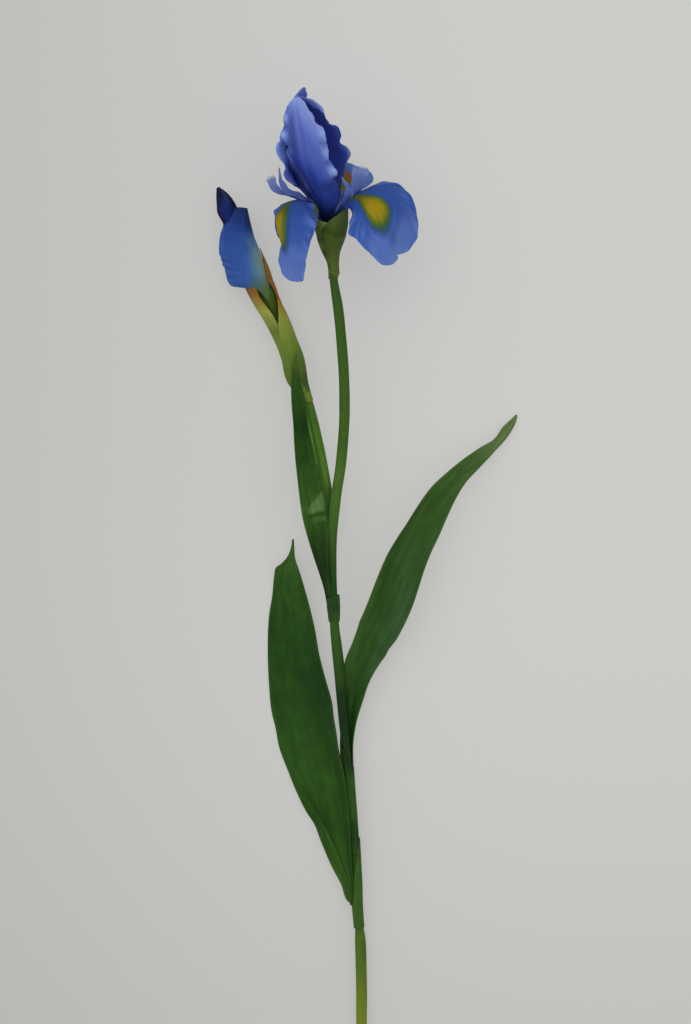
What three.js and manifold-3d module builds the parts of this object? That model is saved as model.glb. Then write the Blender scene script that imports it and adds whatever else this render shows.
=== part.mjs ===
// A cut stem of bearded iris, lying on its side: one open bloom, one coloured bud on a side
// stem, three strap leaves that clasp the stem, and the papery valves below each flower.
// Millimetres, +Z up. The plant rests on the plane z = 0, the stem runs along +Y from its cut
// end to the bloom, and the middle of the plant's outline is over the origin.
import * as THREE from "three";
import { mergeVertices } from "three/addons/utils/BufferGeometryUtils.js";
import Module from "manifold-3d";

const wasm = await Module();
wasm.setup();

// Driving dimensions.
const petalThickness = 0.8;
const leafThickness = 0.9;
const valveThickness = 0.6;
const sheathWall = 0.7;
const bloomPlace = [-27.7, 294.8, 50];
const bloomLean = 12;
const bloomNod = 7;
const budPlace = [-80.5, 253.3, 15];
const budLean = 22;

const violet = "#5a6fd0";
const deepViolet = "#33429c";
const navy = "#1c2a5e";
const lilac = "#7f88da";
const leafGreen = "#2c5a22";
const stemGreen = "#3c6b1e";
const valveGreen = "#6f8a34";
const strawGreen = "#8fa046";
const cream = "#d8cf9a";

const rad = THREE.MathUtils.degToRad;
const object = new THREE.Group();
const bloom = new THREE.Group();
const bud = new THREE.Group();
bloom.position.set(...bloomPlace);
bloom.rotation.set(rad(bloomNod), 0, rad(bloomLean), "ZYX");
bud.position.set(...budPlace);
bud.rotation.set(0, 0, rad(budLean));
object.add(bloom, bud);

// ---- shaping tools ----

function spline(points) {
  return new THREE.CatmullRomCurve3(points.map((point) => new THREE.Vector3(...point)));
}

// Moves every vertex of a closed primitive by one formula, so the primitive stays closed.
function reshape(geometry, place) {
  const position = geometry.attributes.position;
  for (let i = 0; i < position.count; i += 1) {
    const point = place(position.getX(i), position.getY(i), position.getZ(i));
    position.setXYZ(i, point.x, point.y, point.z);
  }
  geometry.deleteAttribute("normal");
  geometry.deleteAttribute("uv");
  const closed = mergeVertices(geometry, 1e-4);
  closed.computeVertexNormals();
  return closed;
}

// A thin closed sheet around surface(u, v), with u from -1 to 1 across and v from 0 to 1 along.
function sheet(surface, thickness, across, along) {
  const step = 1e-3;
  return reshape(new THREE.BoxGeometry(2, 1, thickness, across, along, 1), (x, y, z) => {
    const u = x;
    const v = y + 0.5;
    const du = surface(Math.min(u + step, 1), v).sub(surface(Math.max(u - step, -1), v));
    const dv = surface(u, Math.min(v + step, 1)).sub(surface(u, Math.max(v - step, 0)));
    return surface(u, v).addScaledVector(du.cross(dv).normalize(), z);
  });
}

// A surface that passes through three guide curves: its left edge, its midrib and its right edge.
function guided(left, middle, right) {
  const guides = [left, middle, right].map(spline);
  return (u, v) => {
    const [l, m, r] = guides.map((guide) => guide.getPoint(v));
    return m.multiplyScalar(1 - u * u)
      .addScaledVector(l, (u * u - u) / 2)
      .addScaledVector(r, (u * u + u) / 2);
  };
}

// The direction of a path at v, with one axis to its side and one that points most nearly up.
function axesAt(path, v) {
  const along = path.getTangent(v);
  const up = new THREE.Vector3(0, 0, 1).addScaledVector(along, -along.z).normalize();
  const side = along.clone().cross(up);
  return { origin: path.getPoint(v), side, up };
}

function place(axes, x, z) {
  return axes.origin.clone().addScaledVector(axes.side, x).addScaledVector(axes.up, z);
}

// A solid stem through stations [x, y, z, half width, half depth]. reach(x) says how much of the
// path the side at x takes up, which slants the upper end.
function stemGeometry(stations, sides, steps, reach = () => 1) {
  const centre = spline(stations.map(([x, y, z]) => [x, y, z]));
  const size = spline(stations.map(([, , , wide, deep = wide]) => [wide, deep, 0]));
  return reshape(new THREE.CylinderGeometry(1, 1, 1, sides, steps), (x, y, z) => {
    const v = (y + 0.5) * reach(x);
    const { x: wide, y: deep } = size.getPoint(v);
    return place(axesAt(centre, v), x * wide, z * deep);
  });
}

// One papery valve around a path, through stations [x, y, z, radius, half wrap in degrees].
// Azimuth 0 is the right side of the path and 90 is its upper side.
function valveGeometry(stations, azimuth, across, along) {
  const centre = spline(stations.map(([x, y, z]) => [x, y, z]));
  const size = spline(stations.map(([, , , radius, wrap]) => [radius, wrap, 0]));
  return sheet((u, v) => {
    const { x: radius, y: wrap } = size.getPoint(v);
    const angle = rad(azimuth + u * wrap);
    return place(axesAt(centre, v), radius * Math.cos(angle), radius * Math.sin(angle));
  }, valveThickness, across, along);
}

function solidOf(geometry) {
  return new wasm.Manifold(new wasm.Mesh({
    numProp: 3,
    vertProperties: new Float32Array(geometry.attributes.position.array),
    triVerts: new Uint32Array(geometry.index.array),
  }));
}

function geometryOf(solid) {
  const { vertProperties, triVerts } = solid.getMesh();
  const geometry = new THREE.BufferGeometry();
  geometry.setAttribute("position", new THREE.BufferAttribute(vertProperties, 3));
  geometry.setIndex(new THREE.BufferAttribute(triVerts, 1));
  geometry.computeVertexNormals();
  return geometry;
}

function add(parent, name, geometry, color, roughness = 0.6) {
  const material = new THREE.MeshStandardMaterial({ color, roughness, metalness: 0 });
  const mesh = new THREE.Mesh(geometry, material);
  mesh.name = name;
  parent.add(mesh);
}

// ---- stems ----

// The flowering stem, from its cut end to inside the valves below the bloom. It is slimmer
// where leaf sheaths wrap it.
const mainStem = [
  [-4.4, -391, 3.95, 3.9],
  [-4.5, -317, 4.2, 3.9],
  [-4.9, -268, 5, 3.9],
  [-5.5, -249, 5.7, 3.8],
  [-5.8, -242, 6, 3.2],
  [-6.4, -234, 6.3, 3.1],
  [-8.1, -207, 7.5, 3.1],
  [-10.4, -176, 9, 3],
  [-12.9, -145, 10.5, 3],
  [-16.3, -103, 12.5, 3],
  [-18.9, -68, 14, 3.6],
  [-23.3, -26, 16.5, 3.6],
  [-24.9, -10, 17.8, 3.4],
  [-25.8, 4, 19, 3.3],
  [-27.1, 27, 20.8, 3.4],
  [-26.8, 61, 23.5, 3.5],
  [-24.6, 84, 26, 3.6],
  [-20.5, 114, 29.5, 3.6],
  [-18.2, 144, 33, 3.6],
  [-18.2, 171, 36, 3.6],
  [-20.1, 201, 39.5, 3.5],
  [-22.8, 228, 43, 3.4],
  [-25.9, 250, 46, 3],
  [-26.6, 261, 47, 2.8],
];
add(object, "main_stem", stemGeometry(mainStem, 12, 44), stemGreen, 0.5);

// The side stem grows from the node behind the main stem and carries the bud.
const sideStem = [
  [-26.8, 10, 13.8, 1.6],
  [-27.4, 27, 14.4, 2.3],
  [-27.9, 50, 15.2, 3],
  [-28.4, 69, 16.6, 3.3],
  [-30.2, 88, 18.6, 3.5],
  [-34.7, 114.5, 20, 3.5],
  [-41.6, 145, 19.3, 3.5],
  [-45.4, 160, 18.4, 3],
  [-50, 169.3, 18, 2.9],
  [-53.4, 177, 17.5, 3],
  [-56.9, 192, 16.6, 2.8],
];
add(object, "side_stem", stemGeometry(sideStem, 10, 22), stemGreen, 0.5);

// ---- leaves ----

// A leaf is a blade that grows out of a sheath, and the sheath is hollow along the stem.
function leafGeometry(blade, sheath, sides, steps, reach) {
  const bore = sheath.map(([x, y, z, wide, deep = wide]) =>
    [x, y, z, wide - sheathWall, deep - sheathWall]);
  const [first, last] = [bore[0], bore[bore.length - 1]];
  const beyond = ([x, y, z, ...size], [nextX, nextY, nextZ]) =>
    [2 * x - nextX, 2 * y - nextY, 2 * z - nextZ, ...size];
  const longBore = [beyond(first, bore[1]), ...bore, beyond(last, bore[bore.length - 2])];
  const outside = solidOf(stemGeometry(sheath, sides, steps, reach));
  const inside = solidOf(stemGeometry(longBore, sides, steps * 2));
  return geometryOf(outside.add(solidOf(blade)).subtract(inside));
}

function bladeGeometry(left, middle, right, along) {
  return sheet(guided(left, middle, right), leafThickness, 4, along);
}

const leftBlade = bladeGeometry([
  [-10.3, -229, 6],
  [-14.5, -224, 6.5],
  [-29.5, -192, 5.5],
  [-42.6, -163, 3.5],
  [-58, -131, 2],
  [-70.3, -96, 1],
  [-75.7, -54, 0.6],
  [-76.4, -8, 0.8],
  [-73.3, 15, 2],
  [-70.5, 33, 5],
  [-61, 43.6, 8],
  [-57.8, 53.6, 10],
], [
  [-10.8, -227, 8],
  [-15, -212, 9],
  [-23, -184, 9],
  [-31, -153, 8],
  [-41, -120, 6],
  [-49.5, -85, 4.5],
  [-55, -50, 3.6],
  [-59.5, -9, 3.4],
  [-61.5, 15, 5],
  [-61.5, 33, 7],
  [-58.3, 44, 9],
  [-57.2, 53.6, 10],
], [
  [-10.6, -224, 9],
  [-12.6, -203, 12.8],
  [-13.8, -178, 16],
  [-16.4, -144, 18.5],
  [-21.6, -111, 17.5],
  [-28, -76, 14],
  [-34.8, -47, 12],
  [-42.5, -11, 11],
  [-48.6, 15.4, 10.5],
  [-53.6, 32, 10.5],
  [-55.7, 44, 10.5],
  [-56.6, 53, 10.5],
], 26);
const leftSheath = [
  [-5.8, -241, 6, 4.2],
  [-7, -223, 6.8, 4.3],
  [-8.1, -207, 7.5, 4.5],
  [-9.6, -186, 8.5, 5.1],
  [-10.5, -174, 9.1, 5.2],
];
add(object, "left_leaf",
  leafGeometry(leftBlade, leftSheath, 14, 6, (x) => 1 - 0.39 * (1 - x)), leafGreen);

const rightBlade = bladeGeometry([
  [-13.2, -152, 6.6],
  [-15.2, -125, 5.4],
  [-18.4, -102, 6.4],
  [-19.4, -69, 8.6],
  [-16.6, -37, 13.6],
  [-8.2, -13, 23],
  [3.5, 17.6, 32],
  [17, 46.4, 36],
  [33, 73.5, 33],
  [61, 106.9, 24],
  [86.5, 124.6, 13],
  [104, 141.7, 4],
  [114, 149.6, 1],
], [
  [-10, -152, 7.4],
  [-10, -125, 6.8],
  [-13, -102, 6],
  [-11, -68, 8.4],
  [-2, -38, 13.4],
  [10, -11, 19.5],
  [22, 19.5, 26.5],
  [34, 49, 29],
  [49.5, 78, 26],
  [71.5, 107, 18.5],
  [92.5, 125, 9.5],
  [107.2, 140, 3],
  [114.4, 149.2, 0.8],
], [
  [-8.3, -152, 10],
  [-8.6, -125, 12],
  [-10.8, -103, 13.6],
  [-4.3, -68.3, 14],
  [12.4, -35.4, 17],
  [27.5, -8.5, 22],
  [39.9, 21.2, 27],
  [50.1, 51.5, 28],
  [64.6, 82.6, 25],
  [80.5, 106.2, 17],
  [97.8, 124.7, 9],
  [110.2, 137.9, 3],
  [114.8, 148.8, 1],
], 26);
const rightSheath = [
  [-9.6, -186, 8.6, 4.1],
  [-11.6, -161, 9.8, 4.3],
  [-14.2, -129, 11.3, 4.3],
  [-16.3, -103, 12.5, 4.2],
];
add(object, "right_leaf",
  leafGeometry(rightBlade, rightSheath, 14, 6, (x) => 1 - 0.1 * (1 + x)), leafGreen);

const upperBlade = bladeGeometry([
  [-31, 7, 18.5],
  [-33.8, 23.5, 23.5],
  [-39.2, 38.7, 27],
  [-44.5, 54, 29],
  [-48.5, 69, 30],
  [-53, 99, 30],
  [-56.2, 137, 29],
  [-58.1, 163.5, 28],
  [-58.3, 175, 27.5],
  [-54.9, 194, 26.5],
], [
  [-29.7, 9, 21.3],
  [-31.9, 25, 25.5],
  [-35, 40, 27.5],
  [-37.8, 54, 28],
  [-40, 69, 28.5],
  [-44.5, 99, 28],
  [-51, 137, 27.2],
  [-54.5, 163.5, 27],
  [-56.1, 175, 27],
  [-54.2, 194, 26.5],
], [
  [-28.2, 11, 22.8],
  [-29.4, 27, 27],
  [-30.1, 42, 29],
  [-30.1, 54, 29.8],
  [-30.3, 69, 29.8],
  [-33.4, 99, 28.8],
  [-42.4, 137, 27.5],
  [-49.2, 163.5, 27.5],
  [-53.2, 175, 27],
  [-53.5, 193.8, 26.5],
], 20);
const upperSheath = [
  [-24.7, -11, 17.7, 4.6, 4.6],
  [-25.2, -3, 17.5, 5.2, 5.4],
  [-26, 7, 17.1, 5.6, 6.9],
  [-26.7, 18, 17.7, 5.5, 7.3],
];
add(object, "upper_leaf", leafGeometry(upperBlade, upperSheath, 14, 4), leafGreen);

// ---- valves and tube below the bloom ----

const rightValve = [
  [-26, 251, 46.1, 4.5, 130],
  [-26.7, 262, 47, 4.7, 125],
  [-27.2, 271, 48, 7.6, 115],
  [-27.6, 278, 48.8, 10.2, 105],
  [-27.7, 286, 49.5, 12.4, 97],
  [-27.7, 294, 50, 12.8, 82],
  [-27.7, 299, 50.2, 12.6, 45],
  [-27.7, 303, 50.3, 12.8, 8],
];
const leftValve = [
  [-25.8, 249.5, 45.9, 3.6, 130],
  [-26.7, 262, 47, 3.8, 125],
  [-27.4, 271, 48, 6.2, 115],
  [-28, 278, 48.8, 8.8, 108],
  [-28.3, 286, 49.5, 11, 98],
  [-28.6, 293, 50, 11.6, 72],
  [-28.7, 297, 50.2, 12.6, 42],
  [-28.8, 300, 50.3, 13, 8],
];
add(object, "flower_valve_right", valveGeometry(rightValve, 8, 12, 9), valveGreen, 0.7);
add(object, "flower_valve_left", valveGeometry(leftValve, 152, 12, 9), valveGreen, 0.7);

// The ovary and the tube above it carry the petals.
const ovary = [
  [-26.7, 262, 47.1, 2.7],
  [-27.1, 270, 47.9, 4.2],
  [-27.5, 278, 48.6, 6.2],
  [-27.6, 282.4, 48.8, 7],
];
add(object, "flower_tube", stemGeometry(ovary, 12, 5), valveGreen);

// ---- petals of the bloom, in the bloom's own axes: +Y along it, +Z towards its upper side ----

// The middle of the tube's top, which the bloom leans away from.
const heart = [-2, -9.6, 0];

// The narrow foot of a petal stands on the tube at an azimuth, from +X towards +Z.
function foot(azimuth, ring, halfWidth) {
  const angle = rad(azimuth);
  const at = (side, height, radius) => [
    heart[0] + radius * Math.cos(angle) - side * Math.sin(angle),
    heart[1] + height,
    heart[2] + radius * Math.sin(angle) + side * Math.cos(angle),
  ];
  return [halfWidth, 0, -halfWidth].map((side) => [
    at(side, 0, ring),
    at(side * 1.2, 6, ring * 1.1),
  ]);
}

function petal(name, color, azimuth, ring, halfWidth, guides, ruffle = 0, waves = 0) {
  const feet = foot(azimuth, ring, halfWidth);
  const base = guided(...guides.map((guide, i) => [...feet[i], ...guide]));
  const surface = (u, v) => {
    const point = base(u, v);
    const edge = ruffle * Math.abs(u) ** 3 * Math.sin(Math.PI * v);
    const wave = Math.sin(2 * Math.PI * (waves * v + (u > 0 ? 0.3 : 0)));
    const outward = new THREE.Vector3(point.x, 0, point.z).normalize();
    return point.addScaledVector(outward, edge * wave);
  };
  add(bloom, name, sheet(surface, petalThickness, 6, 14), color);
}

// Standards: the three upright inner petals, which close over the heart of the flower.
petal("standard_front", violet, 105, 4.2, 2, [
  [[-5.5, 6, 6.5], [-10, 20, 9], [-18, 40, 5], [-23, 58, 5], [-19, 78, 7], [-12, 89, 8], [-7, 92, 7]],
  [[-1.5, 6, 9.5], [-2, 20, 15], [-5, 38, 20], [-6, 56, 20], [-6, 74, 17], [-6, 87, 12], [-6, 92, 8]],
  [[3.5, 5, 8], [9, 19, 8], [10.5, 34, 9], [8, 51, 10], [5, 71, 10], [0, 86, 10], [-5, 92, 8]],
], 1.8, 5.5);
petal("standard_right", deepViolet, -15, 4.2, 2, [
  [[7, 5, 1], [12, 17, -1], [22, 37, -1], [20, 55, -1], [12, 75, -1], [6, 87, -1], [2, 91, -1]],
  [[7, 5, -4.5], [13, 18, -12], [20, 36, -19], [18, 55, -19], [11, 74, -13], [6, 85, -6], [2, 91, -2]],
  [[4.5, 6, -5], [3, 21, -16], [2, 40, -26], [3, 59, -27], [1.5, 76, -19], [0.5, 86, -11], [0.5, 91, -3]],
], 2, 4);
petal("standard_left", deepViolet, 225, 4.2, 2, [
  [[-3, 7, -8], [-5, 23, -19], [-6, 42, -28], [-5, 61, -31], [-4, 79, -24], [-3, 90, -14],
    [-1, 98, -2]],
  [[-6, 8, -5.5], [-12, 24, -12], [-20, 44, -21], [-19, 62, -23], [-12, 80, -18], [-6, 91, -11],
    [-2, 98, -1]],
  [[-6.5, 8.5, -2.5], [-14, 21, -3], [-26, 37, -4], [-29, 56, -6], [-20, 74, -6], [-10, 88, -4],
    [-3, 98, 0]],
], 2, 4);

// Falls: the three outer petals, which arch out and hang. The one underneath lies on the table.
petal("fall_right", violet, 45, 6.2, 2.2, [
  [[10, 7, 12], [15, 2, 20], [12, -7, 28], [11, -14, 32], [18, -24, 32], [24, -35, 28],
    [34, -41, 22]],
  [[12, 9, 9], [22, 11, 15], [34, 8, 20], [41, -1, 24], [42, -14, 26], [42, -25, 24], [41, -37, 21]],
  [[15, 11, 5], [30, 17, 6], [46, 18, 5], [58, 9, 3], [63, -11, 3], [56, -28, 8], [44, -36, 17]],
]);
petal("fall_left", violet, 165, 6.2, 2.2, [
  [[-11, 12.8, 1], [-22, 16.5, 3], [-33, 17, 3], [-41, 13, 0], [-37, -3, -2], [-45, -19, 6],
    [-39, -40, 14]],
  [[-10.5, 11.3, 4.3], [-20, 14.5, 10], [-28, 15.5, 14], [-36, 9, 15], [-40, -2, 15], [-37, -20, 16],
    [-34, -42, 16]],
  [[-9, 10.3, 6.5], [-14.5, 11.5, 15], [-14, 9, 22], [-14, 0, 28], [-18, -11, 30], [-26, -28, 27],
    [-29, -41.5, 19]],
]);
petal("fall_back", deepViolet, -75, 6.2, 2.2, [
  [[12, 8, -15.5], [22, 20, -28], [30, 29, -38], [33, 24, -45], [30, 15, -47], [22, 8, -47],
    [9, 3, -47]],
  [[5, 7, -18], [12, 20, -32], [18, 33, -44], [18, 34, -50.5], [14, 25, -52.6], [10, 14, -51],
    [6, 3, -47]],
  [[-1, 7, -18], [0, 21, -33], [-1, 35, -43], [-3, 33, -48], [-5, 24, -49], [-3, 14, -49],
    [4, 4, -47]],
]);

// Style arms: petal-like arms that arch over each fall and end in two upturned crests.
petal("style_arm_right", lilac, 45, 1.9, 1.3, [
  [[6, 9, 7.5], [12, 13, 12], [17, 18, 15], [15, 24, 16], [14, 28, 15]],
  [[8, 11, 5.5], [16, 16, 10], [23, 20, 13], [27, 25, 13], [28, 32, 11]],
  [[9.5, 12, 3], [20, 18, 7], [29, 18, 9], [35, 21, 9], [35, 28, 9]],
]);
petal("style_arm_left", lilac, 165, 1.9, 1.3, [
  [[-8, 15, -1], [-13, 20.5, 2], [-19, 24, 5.5], [-25, 29, 7.5], [-27, 34, 7.5], [-29, 44, 6]],
  [[-8, 14, 2.5], [-14.5, 19, 5.5], [-22, 21.5, 9], [-28, 26.5, 10], [-33, 31, 10], [-34, 40, 8]],
  [[-6.5, 12.5, 5.5], [-13.5, 17.5, 9], [-24, 19.5, 12], [-31, 24, 12], [-39, 28, 12], [-40, 39, 9]],
]);
petal("style_arm_back", lilac, -75, 1.9, 1.3, [
  [[4.5, 7.5, -9.5], [9.5, 15, -18.5], [15, 26, -24], [20, 36, -29], [22, 44, -32]],
  [[3, 7.5, -10], [6.5, 15, -19], [9, 26, -26], [13, 36, -33], [15, 45, -35]],
  [[1, 7.5, -10], [3, 16, -19], [4, 27, -27], [6, 37, -33], [9, 44, -35]],
]);

// Stamens: one under each style arm, a thin stalk with a long anther.
const stalkRadius = 0.5;
const antherRadius = 1;
function stamen(name, azimuth, route) {
  const [start] = foot(azimuth, 4, 0);
  const points = [...start, ...route];
  const stations = points.map((point, i) =>
    [...point, i < points.length - 2 ? stalkRadius : antherRadius]);
  add(bloom, name, stemGeometry(stations, 6, 10), cream);
}
stamen("stamen_right", 45, [[9.6, 9.6, 6.6], [13.4, 12, 9.4], [17.5, 13.6, 12]]);
stamen("stamen_left", 165, [[-9.2, 12.7, 3.3], [-15.4, 16.1, 6.8], [-20.5, 17.6, 9.8]]);
stamen("stamen_back", -75, [[3.5, 7.5, -13.5], [6.5, 14, -22.3], [8.5, 21, -28]]);

// ---- the bud, in its own axes: +Y along it, +Z towards its upper side ----

const budRightValve = [
  [-45.6, 161, 18.2, 4.8, 140],
  [-50, 169.3, 18, 6.2, 138],
  [-53.4, 177, 17.5, 7.4, 132],
  [-56.9, 192, 16.6, 8, 122],
  [-64.5, 210, 16, 8.2, 110],
  [-71.4, 225, 15.7, 9.4, 76],
  [-79, 242, 15.4, 10.2, 40],
  [-85, 258, 15.2, 10.2, 18],
  [-88.5, 268.5, 15, 9.4, 6],
];
const budLeftValve = [
  [-46.2, 163, 18.1, 3.9, 140],
  [-50, 169.3, 18, 5.2, 138],
  [-53.4, 177, 17.5, 6.4, 132],
  [-56.9, 192, 16.6, 7, 122],
  [-64.5, 210, 16, 7.2, 110],
  [-71.4, 225, 15.7, 8.6, 80],
  [-78, 239, 15.5, 10.4, 38],
  [-82, 249, 15.3, 11.6, 8],
];
add(object, "bud_valve_right", valveGeometry(budRightValve, 20, 10, 10), strawGreen, 0.7);
add(object, "bud_valve_left", valveGeometry(budLeftValve, 175, 10, 10), strawGreen, 0.7);

const budTube = [
  [-58, 195, 16.4, 3],
  [-64.5, 210, 16, 3.8],
  [-71.4, 225, 15.7, 4.6],
  [-78, 241, 15.5, 5.2],
  [-82.5, 252, 15.3, 5.6],
  [-86, 261, 15.2, 4.6],
];
add(object, "bud_tube", stemGeometry(budTube, 12, 10), valveGreen);

function budPetal(name, color, guides) {
  add(bud, name, sheet(guided(...guides), petalThickness, 6, 10), color);
}
budPetal("bud_petal_front", violet, [
  [[-17, -1, 5], [-24.5, 8, 2], [-23.6, 24, 1], [-20, 36, 2], [-13.6, 45, 4.5], [1, 55.8, 7]],
  [[-9, -4.5, 11], [-11, 8, 14.5], [-10, 24, 15], [-7.5, 36, 13], [-3, 46, 11], [5, 55.5, 7]],
  [[2, 1, 9], [7, 11, 6], [7, 24, 3], [7, 36, 2], [8, 46, 3], [9, 53.5, 5.5]],
]);
budPetal("bud_petal_back", violet, [
  [[3, 0, -8], [7.5, 11, -3], [6.5, 24, -1], [6.5, 36, -1], [6.5, 46, -2], [5.5, 52, -4]],
  [[-9, 0, -12], [-9, 11, -14.3], [-8.5, 24, -13.8], [-7, 36, -11.5], [-5, 46, -9], [-3, 53, -7]],
  [[-18, 1, -6], [-23, 9, -3], [-22, 24, -2.5], [-18.5, 36, -3], [-14, 45, -4], [-11.5, 51, -5]],
]);
budPetal("bud_tip_front", navy, [
  [[-9, 36, 0.8], [-11.3, 48, 0.8], [-13, 59, 1], [-10.4, 66, 1], [-5.8, 76.3, 0.8]],
  [[-6, 36, 3], [-6, 48, 3.8], [-6, 59, 5.2], [-5, 67, 3.6], [-4.8, 76.3, 1.6]],
  [[-1, 36, 0.8], [1, 48, 0.8], [2.2, 58, 1.2], [0.6, 68, 1], [-3.6, 76, 0.8]],
]);
budPetal("bud_tip_back", navy, [
  [[-1, 36, -1], [0.8, 48, -0.8], [1.6, 58, -0.6], [0, 67, -0.5], [-3.8, 74.6, -0.7]],
  [[-5, 36, -4], [-5.5, 48, -4.4], [-5.5, 58, -4.4], [-5, 66, -3], [-4.8, 74.6, -1.4]],
  [[-9, 36, -1], [-11, 48, -0.8], [-12, 58, -0.8], [-10, 66, -0.6], [-5.8, 74.6, -0.7]],
]);

export default object;
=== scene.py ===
import math

import bpy
import numpy as np
from mathutils import Matrix, Vector


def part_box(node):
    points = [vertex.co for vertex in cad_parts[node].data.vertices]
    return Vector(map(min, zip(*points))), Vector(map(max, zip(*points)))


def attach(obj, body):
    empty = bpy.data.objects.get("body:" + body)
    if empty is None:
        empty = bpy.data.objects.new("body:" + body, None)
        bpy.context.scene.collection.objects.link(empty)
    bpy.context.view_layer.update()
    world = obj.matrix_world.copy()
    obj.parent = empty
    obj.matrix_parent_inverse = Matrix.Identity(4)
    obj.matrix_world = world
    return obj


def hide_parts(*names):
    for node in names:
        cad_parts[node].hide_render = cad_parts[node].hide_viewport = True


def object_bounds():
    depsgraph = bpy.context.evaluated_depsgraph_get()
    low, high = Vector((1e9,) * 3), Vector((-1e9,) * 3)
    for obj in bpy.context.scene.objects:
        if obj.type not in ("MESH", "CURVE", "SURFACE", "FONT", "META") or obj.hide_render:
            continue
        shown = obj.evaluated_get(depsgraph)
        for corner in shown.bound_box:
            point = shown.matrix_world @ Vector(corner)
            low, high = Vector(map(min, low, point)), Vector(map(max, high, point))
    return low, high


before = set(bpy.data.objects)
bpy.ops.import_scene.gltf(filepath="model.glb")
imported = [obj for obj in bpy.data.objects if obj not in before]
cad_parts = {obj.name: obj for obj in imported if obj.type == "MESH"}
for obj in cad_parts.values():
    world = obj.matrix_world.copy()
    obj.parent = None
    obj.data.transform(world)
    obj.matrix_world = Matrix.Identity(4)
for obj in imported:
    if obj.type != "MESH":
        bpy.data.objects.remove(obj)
cad_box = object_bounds()

# ---- main stem ----
# The flowering stem is round, green and nearly 8 mm thick, with fine ribs along it. It is cut
# off square at its lower end, where it is paler, and it is slimmer inside the leaf sheaths.
MM = 0.001


def spline(points, at, knots=None):
    """Places on a smooth curve through points. at goes from 0 to 1, evenly along its length."""
    points = np.array(points, float)
    if knots is None:
        steps = np.linalg.norm(np.diff(points[:, :3], axis=0), axis=1)
        knots = np.concatenate([[0], np.cumsum(steps)]) / steps.sum()
    slopes = np.gradient(points, knots, axis=0, edge_order=2)
    i = np.clip(np.searchsorted(knots, at, side="right") - 1, 0, len(knots) - 2)
    span = (knots[i + 1] - knots[i])[:, None]
    s = (at - knots[i])[:, None] / span
    start = (2 * s**3 - 3 * s**2 + 1) * points[i] + (s**3 - 2 * s**2 + s) * span * slopes[i]
    end = (3 * s**2 - 2 * s**3) * points[i + 1] + (s**3 - s**2) * span * slopes[i + 1]
    return start + end


def along_path(stations, at):
    """What the stations say at each place along their path, which way is to its side, and which
    way is most nearly up."""
    placed = spline(stations, at.ravel()).reshape(*at.shape, -1)
    nudge = 0.001
    near = [spline(stations, (at + step).ravel())[:, :3] for step in (-nudge, nudge)]
    forward = (near[1] - near[0]).reshape(*at.shape, 3)
    forward /= np.linalg.norm(forward, axis=2, keepdims=True)
    up = np.array([0, 0, 1]) - forward * forward[:, :, 2:]
    up /= np.linalg.norm(up, axis=2, keepdims=True)
    return placed, np.cross(forward, up), up


def tube(stations, around, along, reach=None, turn=90):
    """Rows of points round a path through stations [x, y, z, half width, half depth]. The first
    and last column meet opposite turn, an angle from the right side towards the upper side.
    reach says for each column how far along the path it starts and ends."""
    angle = np.radians(turn) - np.linspace(-np.pi, np.pi, around + 1)
    start, end = reach(angle) if reach else (0, 1)
    v = np.linspace(0, 1, along + 1)[:, None]
    at = np.broadcast_to(start + (end - start) * v, (along + 1, around + 1))
    stations = [station if len(station) > 4 else [*station, station[3]] for station in stations]
    placed, side, up = along_path(stations, at)
    wide = side * np.cos(angle)[:, None]
    deep = up * np.sin(angle)[:, None]
    return placed[:, :, :3] + placed[:, :, 3:4] * wide + placed[:, :, 4:] * deep


def end_cap(edge, following):
    """Rows of points that close a tube's end, from its edge to its middle, a little rounded."""
    centre = edge.mean(axis=0)
    outward = centre - following.mean(axis=0)
    cap_height = 0.5
    outward *= cap_height / np.linalg.norm(outward)
    steps = ((0.93, 0.7), (0.8, 0.95), (0.5, 0.75), (0.2, 0.6), (0, 0.6))
    return [centre + (edge - centre) * share + outward * lift for share, lift in steps]


def capped(surface):
    """Closes both ends of a tube."""
    low, high = end_cap(surface[0], surface[1]), end_cap(surface[-1], surface[-2])
    return np.array([*low[::-1], *surface, *high])


def normals(surface):
    """The direction out of the surface at each of its points."""
    out = np.cross(np.gradient(surface, axis=1), np.gradient(surface, axis=0))
    return out / np.maximum(np.linalg.norm(out, axis=2, keepdims=True), 1e-9)


def raised(surface, height):
    """Moves a surface out along its normals."""
    return surface + normals(surface) * height[:, :, None]


def bent_grid(name, surface, *materials, closed=False):
    """Adds a grid and bends it to the rows of points in surface, in millimetres. The edges of a
    closed surface are merged where they meet."""
    rows, columns = surface.shape[:2]
    bpy.ops.object.select_all(action="DESELECT")
    bpy.ops.mesh.primitive_grid_add(x_subdivisions=columns - 1, y_subdivisions=rows - 1, size=2)
    piece = bpy.context.object
    piece.name = piece.data.name = name
    flat = np.empty(3 * len(piece.data.vertices))
    piece.data.vertices.foreach_get("co", flat)
    flat = flat.reshape(-1, 3)
    column = np.rint((flat[:, 0] + 1) / 2 * (columns - 1)).astype(int)
    row = np.rint((flat[:, 1] + 1) / 2 * (rows - 1)).astype(int)
    piece.data.vertices.foreach_set("co", (surface[row, column] * MM).ravel())
    if closed:
        bpy.ops.object.mode_set(mode="EDIT")
        bpy.ops.mesh.select_all(action="SELECT")
        bpy.ops.mesh.remove_doubles(threshold=1e-6)
        bpy.ops.object.mode_set(mode="OBJECT")
    bpy.ops.object.shade_smooth()
    for material in materials:
        piece.data.materials.append(material)
    return piece


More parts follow.
